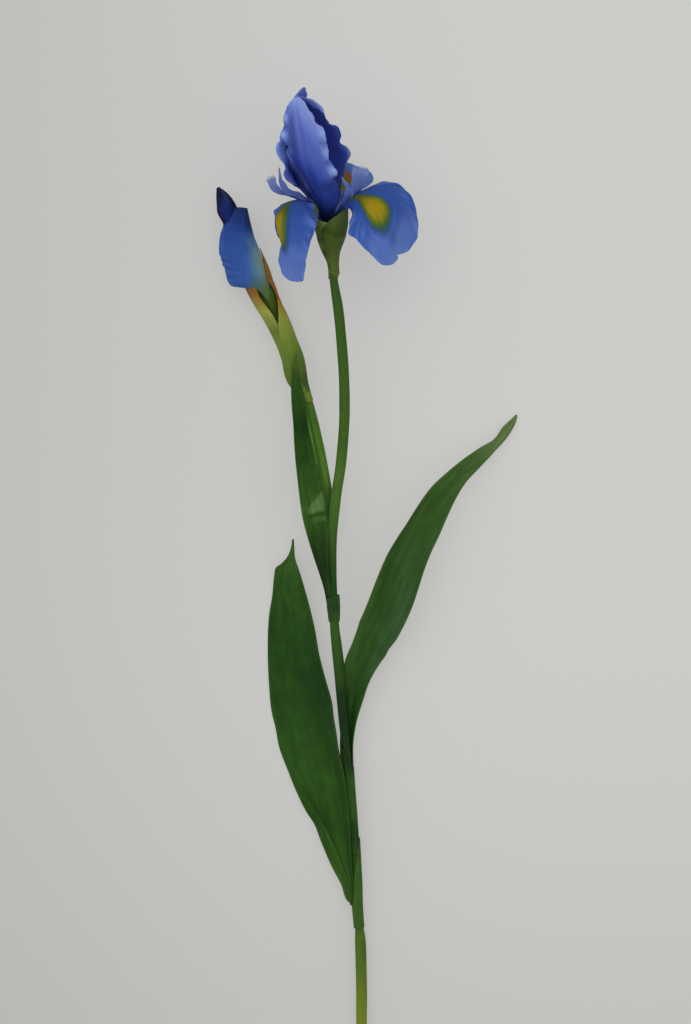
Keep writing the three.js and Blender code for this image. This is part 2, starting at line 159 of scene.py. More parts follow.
class Shade:
    """A socket of a material's nodes. Arithmetic on it adds Math nodes, or Vector Math nodes where
    it holds a colour."""

    def __init__(self, tree, socket=None):
        self.tree = tree
        self.socket = socket

    def node(self, kind, settings=None, values=None, output=0):
        """Adds a node: its settings first, then numbers or links for its sockets."""
        made = self.tree.nodes.new("ShaderNode" + kind)
        for name, setting in (settings or {}).items():
            setattr(made, name, setting)
        for key, value in (values or {}).items():
            if isinstance(value, Shade):
                self.tree.links.new(value.socket, made.inputs[key])
            else:
                made.inputs[key].default_value = value
        return Shade(self.tree, made.outputs[output])

    def math(self, operation, a, b=0.0):
        return self.node("Math", {"operation": operation}, {0: a, 1: b})

    def scaled(self, factor):
        return self.node("VectorMath", {"operation": "SCALE"}, {0: self, "Scale": factor})

    def __abs__(self):
        return self.math("ABSOLUTE", self)

    def __add__(self, other):
        return self.math("ADD", self, other)

    def __sub__(self, other):
        return self.math("SUBTRACT", self, other)

    def __rsub__(self, other):
        return self.math("SUBTRACT", other, self)

    def __mul__(self, other):
        if self.socket.type == "VALUE":
            return self.math("MULTIPLY", self, other)
        return self.scaled(other)

    def __truediv__(self, other):
        return self.math("DIVIDE", self, other)

    __radd__ = __add__
    __rmul__ = __mul__


def rise(value, low, high):
    """0 below low and 1 above high, or the other way round where low is above high."""
    settings = {"interpolation_type": "SMOOTHSTEP"}
    start, end = (0.0, 1.0) if low < high else (1.0, 0.0)
    low, high = min(low, high), max(low, high)
    return value.node("MapRange", settings, {0: value, 1: low, 2: high, 3: start, 4: end})


def band(value, centre, half_width):
    """1 at centre and 0 farther than half_width from it."""
    return rise(abs(value - centre), half_width, 0.0)


def full(colour):
    """A colour for a socket. Screen values, 0 to 255, become the surface colour that gives them
    under the studio light."""
    if isinstance(colour, Shade):
        return colour
    studio_light = 0.75
    return *[((part / 255 + 0.055) / 1.055) ** 2.4 / studio_light for part in colour], 1


def paint(under, *coats):
    """Coats over a colour, one after another. Each is a colour, or a number that makes what lies
    under it lighter or darker, and a mask that is 1 where the coat covers."""
    for over, mask in coats:
        over = under * over if isinstance(over, float) else over
        under = mask.node("Mix", {"data_type": "RGBA"}, {0: mask, 6: full(under), 7: full(over)}, 2)
    return under


def grade(value, *stops):
    """A colour that changes smoothly with value, through stops of (value, red, green, blue)."""
    colour = stops[0][1:]
    for (low, *_), (high, *following) in zip(stops, stops[1:]):
        colour = paint(colour, (following, rise(value, low, high)))
    return colour


def speckle(x, y, z=0.0, detail=2.0):
    """Soft noise, around 0.5, with one spot for each unit of x and y."""
    place = x.node("CombineXYZ", None, {0: x, 1: y, 2: z})
    return x.node("TexNoise", None, {"Vector": place, "Scale": 1.0, "Detail": detail})


def new_material(name, pattern, gloss):
    """A material whose pattern is worked out from across and along, which are the piece's own UV
    map, and place, its three Object coordinates in millimetres. gloss is the same all over."""
    material = bpy.data.materials.new(name)
    material.use_nodes = True
    tree = material.node_tree
    surface = tree.nodes["Principled BSDF"]
    base = Shade(tree)
    flat = base.node("UVMap", {"uv_map": "UVMap"})
    grown = base.node("TexCoord", output=3).scaled(1 / MM)
    across, along = [base.node("SeparateXYZ", None, {0: flat}, axis) for axis in range(2)]
    place = [base.node("SeparateXYZ", None, {0: grown}, axis) for axis in range(3)]
    colour, roughness, height = pattern(across, along, place)
    bump = base.node("Bump", None, {"Height": height, "Distance": MM, "Strength": 0.6})
    for made, key in ((colour, "Base Color"), (roughness, "Roughness"), (bump, "Normal")):
        tree.links.new(made.socket, surface.inputs[key])
    surface.inputs["Specular IOR Level"].default_value = gloss
    return material


def finished(piece, node):
    """Hangs a finished piece on the plant and hides the CAD node that it stands for."""
    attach(piece, "root")
    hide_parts(node)


def stalk(name, node, material, stations, around, along, ribs, depth, swell, waves):
    """A closed tube with fine ribs along it, which slowly swells and thins."""
    surface = tube(stations, around, along)
    angle = np.linspace(0, 2 * np.pi, around + 1)[None, :]
    v = np.linspace(0, 1, along + 1)[:, None]
    uneven = swell * np.sin(2 * np.pi * waves * v + 1.3 * np.sin(5 * v + angle))
    surface = raised(surface, depth * np.cos(ribs * angle) + uneven)
    finished(bent_grid(name, capped(surface), material, closed=True), node)


def stem_pattern(across, along, place):
    x, y, z = place
    streaks = speckle(x * 2.2, y * 0.05, z * 2.2, 3)
    patches = speckle(x * 0.1, y * 0.04, z * 0.1)
    # Painted shade darkens the stem from y -120 to -66, where it runs between the leaves, and a painted
    # highlight lightens it around y 100. It is also darker just above the collar and paler towards its
    # cut end.
    green = grade(y, (-391, 120, 130, 24), (-320, 98, 114, 22), (-262, 68, 92, 20), (-225, 54, 86, 20),
                  (-120, 22, 52, 8), (-90, 11, 38, 2), (-66, 12, 39, 3), (-48, 34, 64, 12),
                  (-14, 42, 74, 14), (18, 24, 60, 14), (40, 38, 70, 14), (68, 54, 88, 20),
                  (100, 64, 94, 30), (130, 52, 84, 18), (240, 48, 78, 18))
    # Painted light: stem green left of x -31 and above y 70, mainly the bud stem, is painted lighter
    # where the upper leaf shades it.
    green = paint(green, (1.45, rise(x, -28.6, -31.0) * rise(y, 70, 95)),
                  (1.35, rise(streaks, 0.45, 0.75)),
                  (0.72, rise(patches, 0.48, 0.72) * 0.8))
    height = streaks * 0.15 + speckle(x * 6, y * 0.3, z * 6) * 0.05
    return green, 0.45 + 0.16 * streaks, height


stem_green = new_material("stem_green", stem_pattern, gloss=0.18)
main_stem_stations = [
    [-4.4, -390.6, 3.95, 4.1, 3.85], [-4.5, -317, 4.2, 4.15, 3.9], [-5, -268, 5, 4.2, 3.9],
    [-5.7, -250, 5.7, 4, 3.8], [-6.3, -242, 6, 3.2], [-6.9, -234, 6.3, 3.1], [-8.5, -207, 7.5, 3.1],
    [-10.6, -176, 9, 3], [-12.9, -145, 10.5, 3], [-16.1, -106, 12.4, 3.1], [-17.7, -90, 13, 3.8],
    [-19.6, -68, 14, 4], [-23.6, -26, 16.5, 4], [-25.1, -13, 17.6, 3.6], [-25.8, 4, 19, 3.3],
    [-27, 27, 20.8, 3.4], [-26.6, 61, 23.5, 3.7], [-24.3, 84, 26, 3.9], [-20.1, 114, 29.5, 4],
    [-17.8, 144, 33, 4], [-17.8, 171, 36, 4], [-19.7, 201, 39.5, 3.9], [-22.4, 228, 43, 3.8],
    [-25.8, 250, 46, 3.1], [-26.6, 261, 47, 2.8],
]
stalk("flower_stem", "main_stem", stem_green, main_stem_stations,
      around=56, along=420, ribs=14, depth=0.05, swell=0.06, waves=17)

# ---- side stem ----
# A thinner stem leaves the node behind the main stem and carries the bud. It is hollowed into the
# papery valves at its top.
side_stem_stations = [
    [-26.8, 10, 13.8, 1.6], [-27.4, 27, 14.4, 2.3], [-27.9, 50, 15.2, 3], [-28.4, 69, 16.6, 3.3],
    [-30.2, 88, 18.6, 3.5], [-34.7, 114.5, 20, 3.5], [-41.6, 145, 19.3, 3.6], [-45.5, 160, 18.4, 3.2],
    [-50, 169.3, 18, 2.9], [-53.4, 177, 17.5, 3], [-56.9, 192, 16.6, 2.8],
]
stalk("bud_stem", "side_stem", stem_green, side_stem_stations,
      around=40, along=150, ribs=12, depth=0.05, swell=0.05, waves=7)

# ---- leaves ----
# Three flat strap leaves grow out of hollow sheaths that clasp the stem. Each blade has fine ribs
# from end to end, shallow buckles and a paler margin line.
leaf_thickness = 0.7


def loft(guides, across, along):
    """Rows of points on the smooth surface through guide curves that lie side by side."""
    v = np.linspace(0, 1, along + 1)
    curves = np.stack([spline(guide, v) for guide in guides])
    knots = np.linspace(0, 1, len(guides))
    shares = spline(np.eye(len(guides)), np.linspace(0, 1, across + 1), knots)
    return np.einsum("ug,gvc->vuc", shares, curves)


def across_and_along(surface):
    """u from -1 to 1 across a surface and v from 0 to 1 along it, for each of its points."""
    rows, columns = surface.shape[:2]
    return np.meshgrid(np.linspace(-1, 1, columns), np.linspace(0, 1, rows))


def wander(u, v, seed):
    """A smooth uneven pattern around 0, the same each time for a seed."""
    turns = np.random.default_rng(seed)
    total = 0
    for wave in range(6):
        a, b, phase = turns.uniform(-1, 1), turns.uniform(-1, 1), turns.uniform(0, 6.3)
        total = total + np.sin((1 + wave * 0.6) * (a * u + b * v) + phase) / (1 + wave * 0.4)
    return total / 3


def thicken(piece, thickness, offset=0.0, other_side=0):
    """Gives a sheet its thickness. other_side is the material of the side away from its normals."""
    wall = piece.modifiers.new("wall", "SOLIDIFY")
    wall.thickness = thickness * MM
    wall.offset = offset
    wall.material_offset = other_side
    bpy.context.view_layer.objects.active = piece
    bpy.ops.object.modifier_apply(modifier="wall")


def joined(pieces, name):
    """Joins pieces into the first of them."""
    bpy.ops.object.select_all(action="DESELECT")
    for piece in pieces:
        piece.select_set(True)
    bpy.context.view_layer.objects.active = pieces[0]
    bpy.ops.object.join()
    pieces[0].name = pieces[0].data.name = name
    return pieces[0]


def leaf_pattern(stops, shade, wax, rim, seed):
    """Leaf green that changes from foot to point, with streaks along the blade, painted light and shade
    over parts of the blade and a dull bloom of wax."""
    def pattern(across, along, place):
        fine = speckle(across * 46, along * 5, seed, 3)
        broad = speckle(across * 7, along * 3.5, seed + 7.0, 2)
        patch = speckle(across * 2.2, along * 6, seed + 3.0, 2)
        mottle = speckle(across * 7, along * 22, seed + 5.0, 4)
        margin = rise(abs(across - 0.5), 0.455, 0.49)
        green = paint(shade(grade(along, *stops), across, along),
                      (1.4, rise(mottle, 0.5, 0.68) * 0.55),
                      (0.78, rise(mottle, 0.48, 0.34) * 0.6),
                      (1.35, rise(broad, 0.45, 0.75) * 0.7),
                      (0.7, rise(patch, 0.48, 0.72) * 0.7),
                      (1.45, rise(fine, 0.52, 0.8) * 0.5),
                      ((72, 98, 60), rise(fine, 0.42, 0.7) * rise(patch, 0.6, 0.35) * wax),
                      ((70, 98, 46), margin * rim))
        ribs = across.math("SINE", across * 190.0) * 0.03
        height = fine * 0.14 + mottle * 0.5 + ribs + speckle(across * 90, along * 16, seed) * 0.05
        return green, 0.55 + 0.14 * fine - 0.06 * broad, height
    return pattern


def left_shade(green, across, along):
    """Painted shade along its right half and beside the stem, a painted highlight along a bend near its
    foot with a painted shade line in the crease beside it, and a lighter left edge at its foot.
    """
    line = across + along * 2.0
    lower = rise(along, 0.36, 0.22)
    return paint(green, ((11, 42, 4), rise(across, 0.3, 0.95) * band(along, 0.58, 0.2) * 0.9),
                 (1.25, band(line, 0.72, 0.09) * lower),
                 ((12, 40, 6), band(line, 0.82, 0.05) * lower * 0.75),
                 ((15, 45, 5), rise(across, 0.76, 0.93) * rise(along, 0.47, 0.36) * 0.7),
                 ((54, 88, 24), rise(across, 0.3, 0.1) * rise(along, 0.16, 0.06) * 0.7))


def right_shade(green, across, along):
    """Painted light over its left half, a painted shadow beside the stem near its foot, and a waxy
    right half.
    """
    return paint(green, ((50, 86, 22), rise(across, 0.3, 0.08) * band(along, 0.42, 0.3) * 0.7),
                 ((10, 38, 4), band(along, 0.16, 0.1) * rise(across, 0.35, 0.15)),
                 ((46, 74, 44), rise(across, 0.5, 0.8) * band(along, 0.4, 0.22) * 0.5))


def upper_shade(green, across, along):
    """A darker left side at its foot, a pale line along its right margin, and a painted highlight where
    the blade bends, with a painted shade line in the crease below it and a paler painted band beneath
    that."""
    line = rise(across, 0.87, 0.95) * rise(across, 0.995, 0.96)
    # Painted highlight where the blade bends.
    bend_highlight = rise(across, 0.24, 0.38) * rise(across, 0.98, 0.88) * rise(along, 0.345, 0.36)
    bend_highlight = bend_highlight * rise(along - across * 0.09, 0.356, 0.328)
    return paint(green, ((14, 38, 5), rise(across, 0.5, 0.15) * rise(along, 0.27, 0.16) * 0.8),
                 ((76, 106, 34), line * band(along, 0.66, 0.17)),
                 ((74, 104, 54), bend_highlight),
                 ((24, 56, 10), band(along, 0.34, 0.009) * rise(across, 0.2, 0.4) * 0.7),
                 ((58, 90, 40), band(along, 0.322, 0.02) * rise(across, 0.35, 0.5) * 0.7))


left_leaf_green = new_material("left_leaf_green", leaf_pattern(
    ((0.0, 42, 72, 16), (0.13, 38, 71, 12), (0.23, 29, 62, 9), (0.34, 34, 68, 12), (0.5, 31, 64, 12),
     (0.72, 24, 58, 9), (0.85, 34, 67, 15), (1.0, 52, 84, 26)),
    left_shade, wax=0.08, rim=0.2, seed=1.0), gloss=0.14)
right_leaf_green = new_material("right_leaf_green", leaf_pattern(
    ((0.0, 40, 74, 20), (0.2, 33, 69, 17), (0.3, 37, 70, 18), (0.5, 34, 66, 16), (0.7, 42, 73, 22),
     (0.84, 58, 86, 36), (0.93, 84, 106, 58), (1.0, 84, 106, 56)),
    right_shade, wax=0.5, rim=0.35, seed=4.0), gloss=0.16)
# The upper leaf's lighter stop at 0.39 is part of the painted highlight where its blade bends.
upper_leaf_green = new_material("upper_leaf_green", leaf_pattern(
    ((0.0, 32, 62, 16), (0.13, 20, 43, 8), (0.23, 27, 56, 9), (0.31, 36, 68, 12), (0.39, 42, 76, 18),
     (0.48, 37, 71, 14), (0.62, 27, 62, 8), (0.71, 20, 51, 6), (0.8, 33, 66, 10), (0.9, 38, 68, 16),
     (1.0, 66, 92, 32)),
    upper_shade, wax=0.08, rim=0.3, seed=7.0), gloss=0.14)


def sheath_pattern(across, along, place):
    x, y, z = place
    streaks = speckle(x * 1.4, y * 0.06, z * 1.4, 3)
    patches = speckle(x * 0.12, y * 0.07, z * 0.12)
    shaded_sheath_top = rise(along, 0.7, 0.96) * rise(y, -135, -118) * rise(y, -60, -70)
    # Painted light and shade: a painted highlight along the rim, and painted shade on the collar,
    # around y -172 on the right leaf's sheath and at that sheath's top beside the stem. Below y -186 it
    # is lighter.
    green = paint((36, 68, 14), ((54, 86, 26), rise(streaks, 0.4, 0.7)),
                  (0.7, rise(patches, 0.45, 0.7)),
                  ((62, 90, 40), rise(along, 0.93, 0.99) * 0.3),
                  ((24, 58, 20), band(y, 3.0, 13.0) * 0.9),
                  ((18, 48, 8), rise(y, -186, -176) * rise(y, -154, -168) * 0.6),
                  ((14, 41, 4), shaded_sheath_top * 0.9),
                  ((56, 88, 28), rise(y, -186, -192) * 0.5))
    return green, 0.5 + 0.12 * streaks, streaks * 0.15


sheath_green = new_material("sheath_green", sheath_pattern, gloss=0.18)


def leaf(name, node, material, guides, ribs, buckle, seed, stations, reach, rings=60):
    """A blade through guides, with ribs from end to end, joined to its hollow foot, which is a
    wall round the stem with a thin rim. reach says how far up the stem the foot starts and ends."""
    surface = loft(guides, across=60, along=230)
    u, v = across_and_along(surface)
    ends = np.sin(np.pi * np.clip(v * 1.02, 0, 1)) ** 0.5
    height = 0.07 * np.cos(ribs * np.pi * u) - 0.35 * np.exp(-((u / 0.09) ** 2))
    height = height + buckle * wander(2.5 * u, 17 * v, seed) * (0.35 + 0.65 * u**2)
    blade = bent_grid(name, raised(surface, height * ends), material)
    thicken(blade, leaf_thickness)
    surface = tube(stations, 48, rings, reach, turn=-90)
    u, v = across_and_along(surface)
    uneven = 0.12 * wander(2 * u, 5 * v, seed=5)
    surface = raised(surface, 0.05 * np.cos(9 * np.pi * u) + uneven)
    sheath = bent_grid(name + "_sheath", surface, sheath_green, closed=True)
    thicken(sheath, leaf_thickness, offset=-1.0)
    finished(joined([blade, sheath], name), node)


left_leaf_guides = [
    [(-12, -224.5, 6.5), (-14.5, -223, 6.5), (-20, -210, 6.3), (-27.5, -196, 5.5), (-35, -179, 4.5),
     (-41.5, -163, 3.6), (-46.5, -155.5, 3.2), (-54.5, -139.5, 2.4), (-61, -123.5, 1.9),
     (-68, -104.5, 1.3), (-70.5, -91, 1), (-73.5, -78.5, 0.8), (-75.5, -58, 0.6), (-76.5, -35, 0.6),
     (-76.5, -19.5, 0.8), (-75.5, -4, 1.3), (-73, 11.5, 2.2), (-71.5, 26.5, 4), (-70.5, 32, 5),
     (-66, 35.5, 6.5), (-61.5, 40.5, 8), (-59, 45.5, 9), (-57.5, 54, 10)],
    [(-13, -225.5, 8), (-16.5, -208, 9), (-25, -178, 9), (-33.5, -145.5, 8), (-43.5, -111, 6),
     (-50, -76.5, 4.8), (-55, -42.5, 4), (-58.5, -8, 3.8), (-60, 19, 5.2), (-59, 33.5, 7),
     (-58, 44.5, 9), (-57, 54.5, 10)],
    [(-12, -225.5, 9), (-11.4, -212, 12), (-12.6, -179.5, 15.5), (-15, -146.5, 17.6),
     (-18.4, -121, 17.4), (-20.8, -111.5, 17), (-22.6, -103.5, 16), (-24.4, -92, 15),
     (-26.5, -79.5, 14), (-27, -73, 13.5), (-32, -53, 12.2), (-37, -34, 11.6), (-41, -11.5, 11),
     (-47, 13, 10.6), (-52.5, 31, 10.5), (-55.5, 40, 10.5), (-56, 47.5, 10.5), (-56.5, 54, 10.5)],
]
left_sheath_stations = [
    [-6.5, -243, 6, 4.1], [-7.6, -229, 6.6, 4.3], [-8.5, -207, 7.5, 4.6], [-9.9, -186, 8.5, 4.9],
    [-10.7, -174, 9.1, 4.9],
]
leaf("leaf_left", "left_leaf", left_leaf_green, left_leaf_guides, ribs=13, buckle=0.9, seed=3,
     stations=left_sheath_stations,
     reach=lambda angle: (0.012 * np.sin(3 * angle), 1 - 0.3 * (1 - np.cos(angle))))

right_leaf_guides = [
    [(-17.5, -137.5, 8.5), (-20.5, -118.5, 8), (-21, -99.5, 8), (-19.5, -80.5, 8.5), (-18.5, -61, 10),
     (-17.6, -39.5, 14), (-11.6, -24, 19), (-8, -14, 23), (-6, -7.5, 25), (-3.4, -2, 27.5),
     (0.8, 8.5, 30), (5.4, 20.5, 32.5), (16, 45, 36), (24.3, 59, 36), (27.9, 64.5, 36),
     (36, 77.5, 34), (48, 94, 30), (60.6, 105.5, 25), (72.5, 115, 19), (85.5, 124, 13.5),
     (97.5, 131.5, 8.5), (103.5, 140, 5.5), (111.5, 147.5, 2), (114, 150, 1.2)],
    [(-11, -139, 8.5), (-12.5, -121, 8), (-13.5, -99.5, 7.5), (-12.5, -80.5, 8), (-9.5, -61, 10),
     (-4.5, -39.5, 14), (3, -18.5, 20), (12.5, 4.5, 26), (22, 27.5, 29.5), (32.5, 50, 30),
     (45.5, 72.5, 27.5), (61, 91, 23.5), (78, 107.5, 17), (93.5, 121.5, 10.5), (105.5, 135.5, 5),
     (112.5, 145, 2), (114.5, 149.5, 1)],
    [(-11.6, -141, 11.5), (-11.4, -122, 12.5), (-11.2, -100.5, 13.5), (-8.8, -85, 14),
     (-3.8, -68.5, 14.5), (0.6, -55.5, 15), (9.2, -40.5, 17), (13.8, -34, 18), (15.8, -30, 18.5),
     (21.4, -22.5, 20), (26.8, -12.5, 22), (34.8, 6, 25), (38, 16, 27), (42.6, 30.5, 27.8),
     (47.4, 43, 28), (54.2, 57.5, 28), (61.2, 73.5, 26.5), (66.8, 85, 24.5), (74, 96.5, 20.5),
     (85.5, 109, 15), (96.5, 121, 10), (106, 131, 5.5), (111.5, 139.5, 2.5), (114.5, 146.5, 1.2),
     (115, 149, 1)],
]
right_sheath_stations = [
    [-9.8, -186, 8.6, 4.1], [-11.8, -161, 9.8, 4.4], [-14.2, -129, 11.3, 4.5], [-16.2, -103, 12.5, 4.6],
]
leaf("leaf_right", "right_leaf", right_leaf_green, right_leaf_guides, ribs=13, buckle=0.9, seed=8,
     stations=right_sheath_stations, reach=lambda angle: (0, 1 - 0.1 * (1 + np.cos(angle))))

upper_leaf_guides = [
    [(-31.2, 6, 18), (-33, 16, 21), (-35.8, 25.5, 24), (-40.2, 38.5, 27), (-44.7, 53, 29),
     (-49, 69, 30), (-51.5, 85.5, 30.2), (-53, 99, 30.2), (-55, 120.5, 30), (-56, 137, 29.6),
     (-57.5, 156, 29), (-58, 171, 28), (-57, 184, 27.2), (-55.5, 191.5, 26.7), (-54.5, 195, 26.5)],
    [(-29, 10.5, 21.3), (-31.5, 25.5, 25.5), (-35.5, 41.5, 27.5), (-38.5, 54, 28), (-40.5, 69, 28.5),
     (-45.5, 97.5, 28), (-51, 137, 27.2), (-54, 163.5, 27), (-55, 176.5, 27), (-54, 194.5, 26.5)],
    [(-27, 11.5, 22.8), (-29.4, 26, 27), (-30.6, 42.5, 28.5), (-30.8, 54, 28.5), (-31.2, 69, 27.8),
     (-32.2, 82, 27), (-34.4, 97.5, 26), (-39, 120.5, 25), (-42.6, 136.5, 24.5),
     (-47.4, 160, 25), (-51.2, 173.5, 26), (-53.5, 185.5, 26.6), (-54, 195, 26.5)],
]
collar_stations = [
    [-25.5, -8.5, 17.7, 4.2, 4.6], [-25.8, -1, 17.5, 4.9, 5.4], [-26.1, 5.5, 17.4, 5.2, 6.8],
    [-26.3, 12, 17.7, 4.9, 7.3],
]
leaf("leaf_upper", "upper_leaf", upper_leaf_green, upper_leaf_guides, ribs=7, buckle=0.5, seed=12,
     stations=collar_stations, rings=40,
     reach=lambda angle: (0.03 + 0.03 * np.sin(4 * angle), 0.94 + 0.06 * np.cos(angle)))

# ---- valves below the bloom ----
# Two papery green valves wrap the top of the stem and open into a cup round the flower's tube.
# They are thin leaf tissue, creased lengthwise, and their dry lower hem is torn and paler.
valve_thickness = 0.5


def torn(u, depth, waves, shift=0):
    """How much of a valve's length is missing at a torn edge, for each place across it."""
    return depth * (1 + np.sin(waves * u + shift))


def valve(name, node, material, stations, hem, foot, depth, seed, waist=0.0):
    """A valve that wraps a path through stations [x, y, z, radius, left edge, right edge]. The
    edges are angles from the path's right side towards its upper side. hem and foot are its torn
    edges. depth and seed are of its lengthwise creases, and waist is how far it is drawn in."""
    u = np.linspace(-1, 1, 81)[None, :]
    v = np.linspace(0, 1, 91)[:, None]
    low, high = torn(u, *foot), 1 - torn(u, *hem)
    placed, side, up = along_path(stations, low + (high - low) * v)
    angle = np.radians((1 - u) / 2 * placed[:, :, 4] + (1 + u) / 2 * placed[:, :, 5])[:, :, None]
    surface = placed[:, :, :3] + placed[:, :, 3:4] * (side * np.cos(angle) + up * np.sin(angle))
    u, v = across_and_along(surface)
    creases = np.sin(17 * u + 2 * wander(2 * u, 7 * v, seed)) * 0.5
    broad = wander(4 * u, 9 * v, seed + 1)
    ribs = 0.05 * np.cos(70 * u)
    ring = np.exp(-(((v - 0.64 - 0.04 * np.sin(5 * u)) / 0.05) ** 2))
    height = depth * (0.55 * creases + broad) + ribs - waist * ring
    piece = bent_grid(name, raised(surface, height), material)
    thicken(piece, valve_thickness)
    finished(piece, node)


def valve_pattern(painted_light_gain):
    """Olive green with dry grey streaks and creases. Its one argument says how much lighter its upper
    half is painted, as painted light where the valve lies in shade."""
    def pattern(across, along, place):
        x, y, z = place
        streaks = speckle(across * 44, along * 2.5, 3.0, 3)
        creases = speckle(across * 11 + along * 3, along * 9, 6.0, 3)
        patches = speckle(x * 0.16, y * 0.13, z * 0.16, 3)
        green = grade(along, (0.0, 80, 100, 34), (0.1, 80, 99, 34), (0.25, 74, 92, 30),
                      (0.45, 68, 85, 28), (0.65, 62, 80, 26), (0.85, 68, 84, 32), (1.0, 84, 96, 48))
        green = paint(green, (1 + painted_light_gain, rise(along, 0.42, 0.58)))
        third = (1 / 3, 1 / 3, 1 / 3)
        grey = green.node("VectorMath", {"operation": "DOT_PRODUCT"}, {0: green, 1: third}, 1)
        # Painted shade in the crease of the waist ring, with a painted highlight just below it.
        crossing = along + 0.05 * across.math("SINE", across * 5.0)
        rough = rise(creases, 0.35, 0.6)
        green = paint(green, (grey * 1.45, rise(streaks, 0.5, 0.8) * 0.6),
                      (1.35, rise(creases, 0.52, 0.68) * 0.5),
                      (0.6, rise(patches, 0.48, 0.72) * 0.6),
                      (0.62, band(crossing, 0.66, 0.06) * rough),
                      (1.3, band(crossing, 0.57, 0.05) * rough))
        height = streaks * 0.2 + creases * 0.5 + speckle(across * 120, along * 8, 5.0) * 0.06
        return green, 0.55 + 0.15 * streaks, height
    return pattern


# The left valve's upper half is painted much lighter than the right's, as painted light against the
# shade it lies in.
valve_right_green = new_material("valve_right_green", valve_pattern(0.05), gloss=0.15)
valve_left_green = new_material("valve_left_green", valve_pattern(0.9), gloss=0.15)
right_valve_stations = [
    [-26, 251, 46.1, 4.6, 138, -122], [-26.9, 262, 47, 5, 133, -117], [-27.9, 271, 48, 7.6, 123, -107],
    [-28.1, 278, 48.8, 10.2, 122, -97], [-27.9, 286, 49.5, 12.2, 120, -89],
    [-27.7, 291, 50, 12.7, 100, -80], [-27.7, 295, 50.1, 12.7, 72, -60],
    [-27.7, 299, 50.2, 12.6, 48, -34], [-27.7, 303, 50.3, 12.8, 16, 4],
]
left_valve_stations = [
    [-25.8, 249.5, 45.9, 3.7, 282, 22], [-26.7, 262, 47, 4, 277, 27], [-27.9, 271, 48, 6.8, 267, 37],
    [-28.4, 278, 48.8, 9.2, 260, 44], [-28.3, 284, 49.5, 10.7, 250, 54],
    [-28.6, 288.5, 50, 11.6, 236, 82], [-28.7, 291.5, 50.2, 12.2, 220, 112],
    [-28.8, 294, 50.3, 12.6, 196, 160],
]
valve("valve_right", "flower_valve_right", valve_right_green, right_valve_stations,
      hem=(0.006, 9), foot=(0.02, 7, 1), depth=0.34, seed=21, waist=0.2)
valve("valve_left", "flower_valve_left", valve_left_green, left_valve_stations,
      hem=(0.006, 8), foot=(0.02, 6), depth=0.3, seed=25, waist=0.2)

# ---- flower tube ----
# The short green tube inside the cup, with the ovary in its lower part. It has six blunt ribs
# where the seed chambers are, and it carries all the petals.
tube_stations = [
    [-26.7, 262, 47.1, 2.7], [-27.1, 270, 47.9, 4.2], [-27.5, 278, 48.6, 6.2], [-27.6, 282.4, 48.8, 7],
]
stalk("tube", "flower_tube", stem_green, tube_stations,
      around=72, along=60, ribs=6, depth=0.3, swell=0.05, waves=3)

# ---- petals of the bloom ----
# A petal is soft tissue, narrow where it grows from the tube and broad above. Fine veins run from
# its foot to its margin, and the margin is ruffled.
petal_thickness = 0.45
tube_low, tube_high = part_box("flower_tube")
bloom_place = np.array(((tube_low.x + tube_high.x) / 2, tube_high.y, (tube_low.z + tube_high.z) / 2))
bloom_lean, bloom_nod = 12, 7
bloom = (bloom_place / MM + (-0.1, 12, 1.2), bloom_lean, bloom_nod)
tube_aside, tube_below = -2, -9.6


def set_on(points, place, lean, nod=0):
    """Points in a flower's own axes, set on the plant: nodded, leant and moved to their place."""
    turn = Matrix.Rotation(math.radians(lean), 3, "Z") @ Matrix.Rotation(math.radians(nod), 3, "X")
    return points @ np.array(turn).T + place


def footed(azimuth, ring, half_width, guides):
    """Guides that start on the tube, on a ring round it at an azimuth from +X towards +Z."""
    angle = math.radians(azimuth)
    grown = []
    for guide, share in zip(guides, np.linspace(1, -1, len(guides))):
        foot = []
        for height, radius, side in ((0, ring, half_width), (6, ring * 1.1, half_width * 1.2)):
            x = tube_aside + radius * math.cos(angle) - share * side * math.sin(angle)
            z = radius * math.sin(angle) + share * side * math.cos(angle)
            foot.append((x, tube_below + height, z))
        grown.append([*foot, *guide])
    return grown


def frill(u, v, depth, waves, seed):
    """The waves of a petal's margins, deepest at its edges and none at its foot."""
    shift = wander(1.5 * u, 9 * v, seed)
    wave = np.sin(2 * np.pi * waves * v + 1.5 * shift + np.where(u > 0, 1.7, 0))
    fine = np.sin(2 * np.pi * 2.7 * waves * v + 2 * shift)
    grown = np.clip(5 * v, 0, 1) * depth
    return grown * (np.abs(u) ** 2.5 * wave + 0.25 * np.abs(u) ** 6 * fine)


def crease(u, v, line, width):
    """1 along a line through points (u, v) that go up the petal, and 0 away from it."""
    us, vs = np.array(line).T
    near = np.exp(-(((u - np.interp(v, vs, us)) / width) ** 2))
    return near * np.clip((v - vs[0]) / 0.08, 0, 1) * np.clip((vs[-1] - v) / 0.08, 0, 1)


def petal(node, ending, flower, guides, relief, outer, inner, across=60, along=90):
    """A petal through guides in the axes of its flower. Its outer face has the first material and
    its inner face the second."""
    surface = loft(guides, across, along)
    surface = raised(surface, relief(*across_and_along(surface)))
    piece = bent_grid(node + ending, set_on(surface, *flower), outer, inner)
    thicken(piece, petal_thickness, other_side=1)
    finished(piece, node)


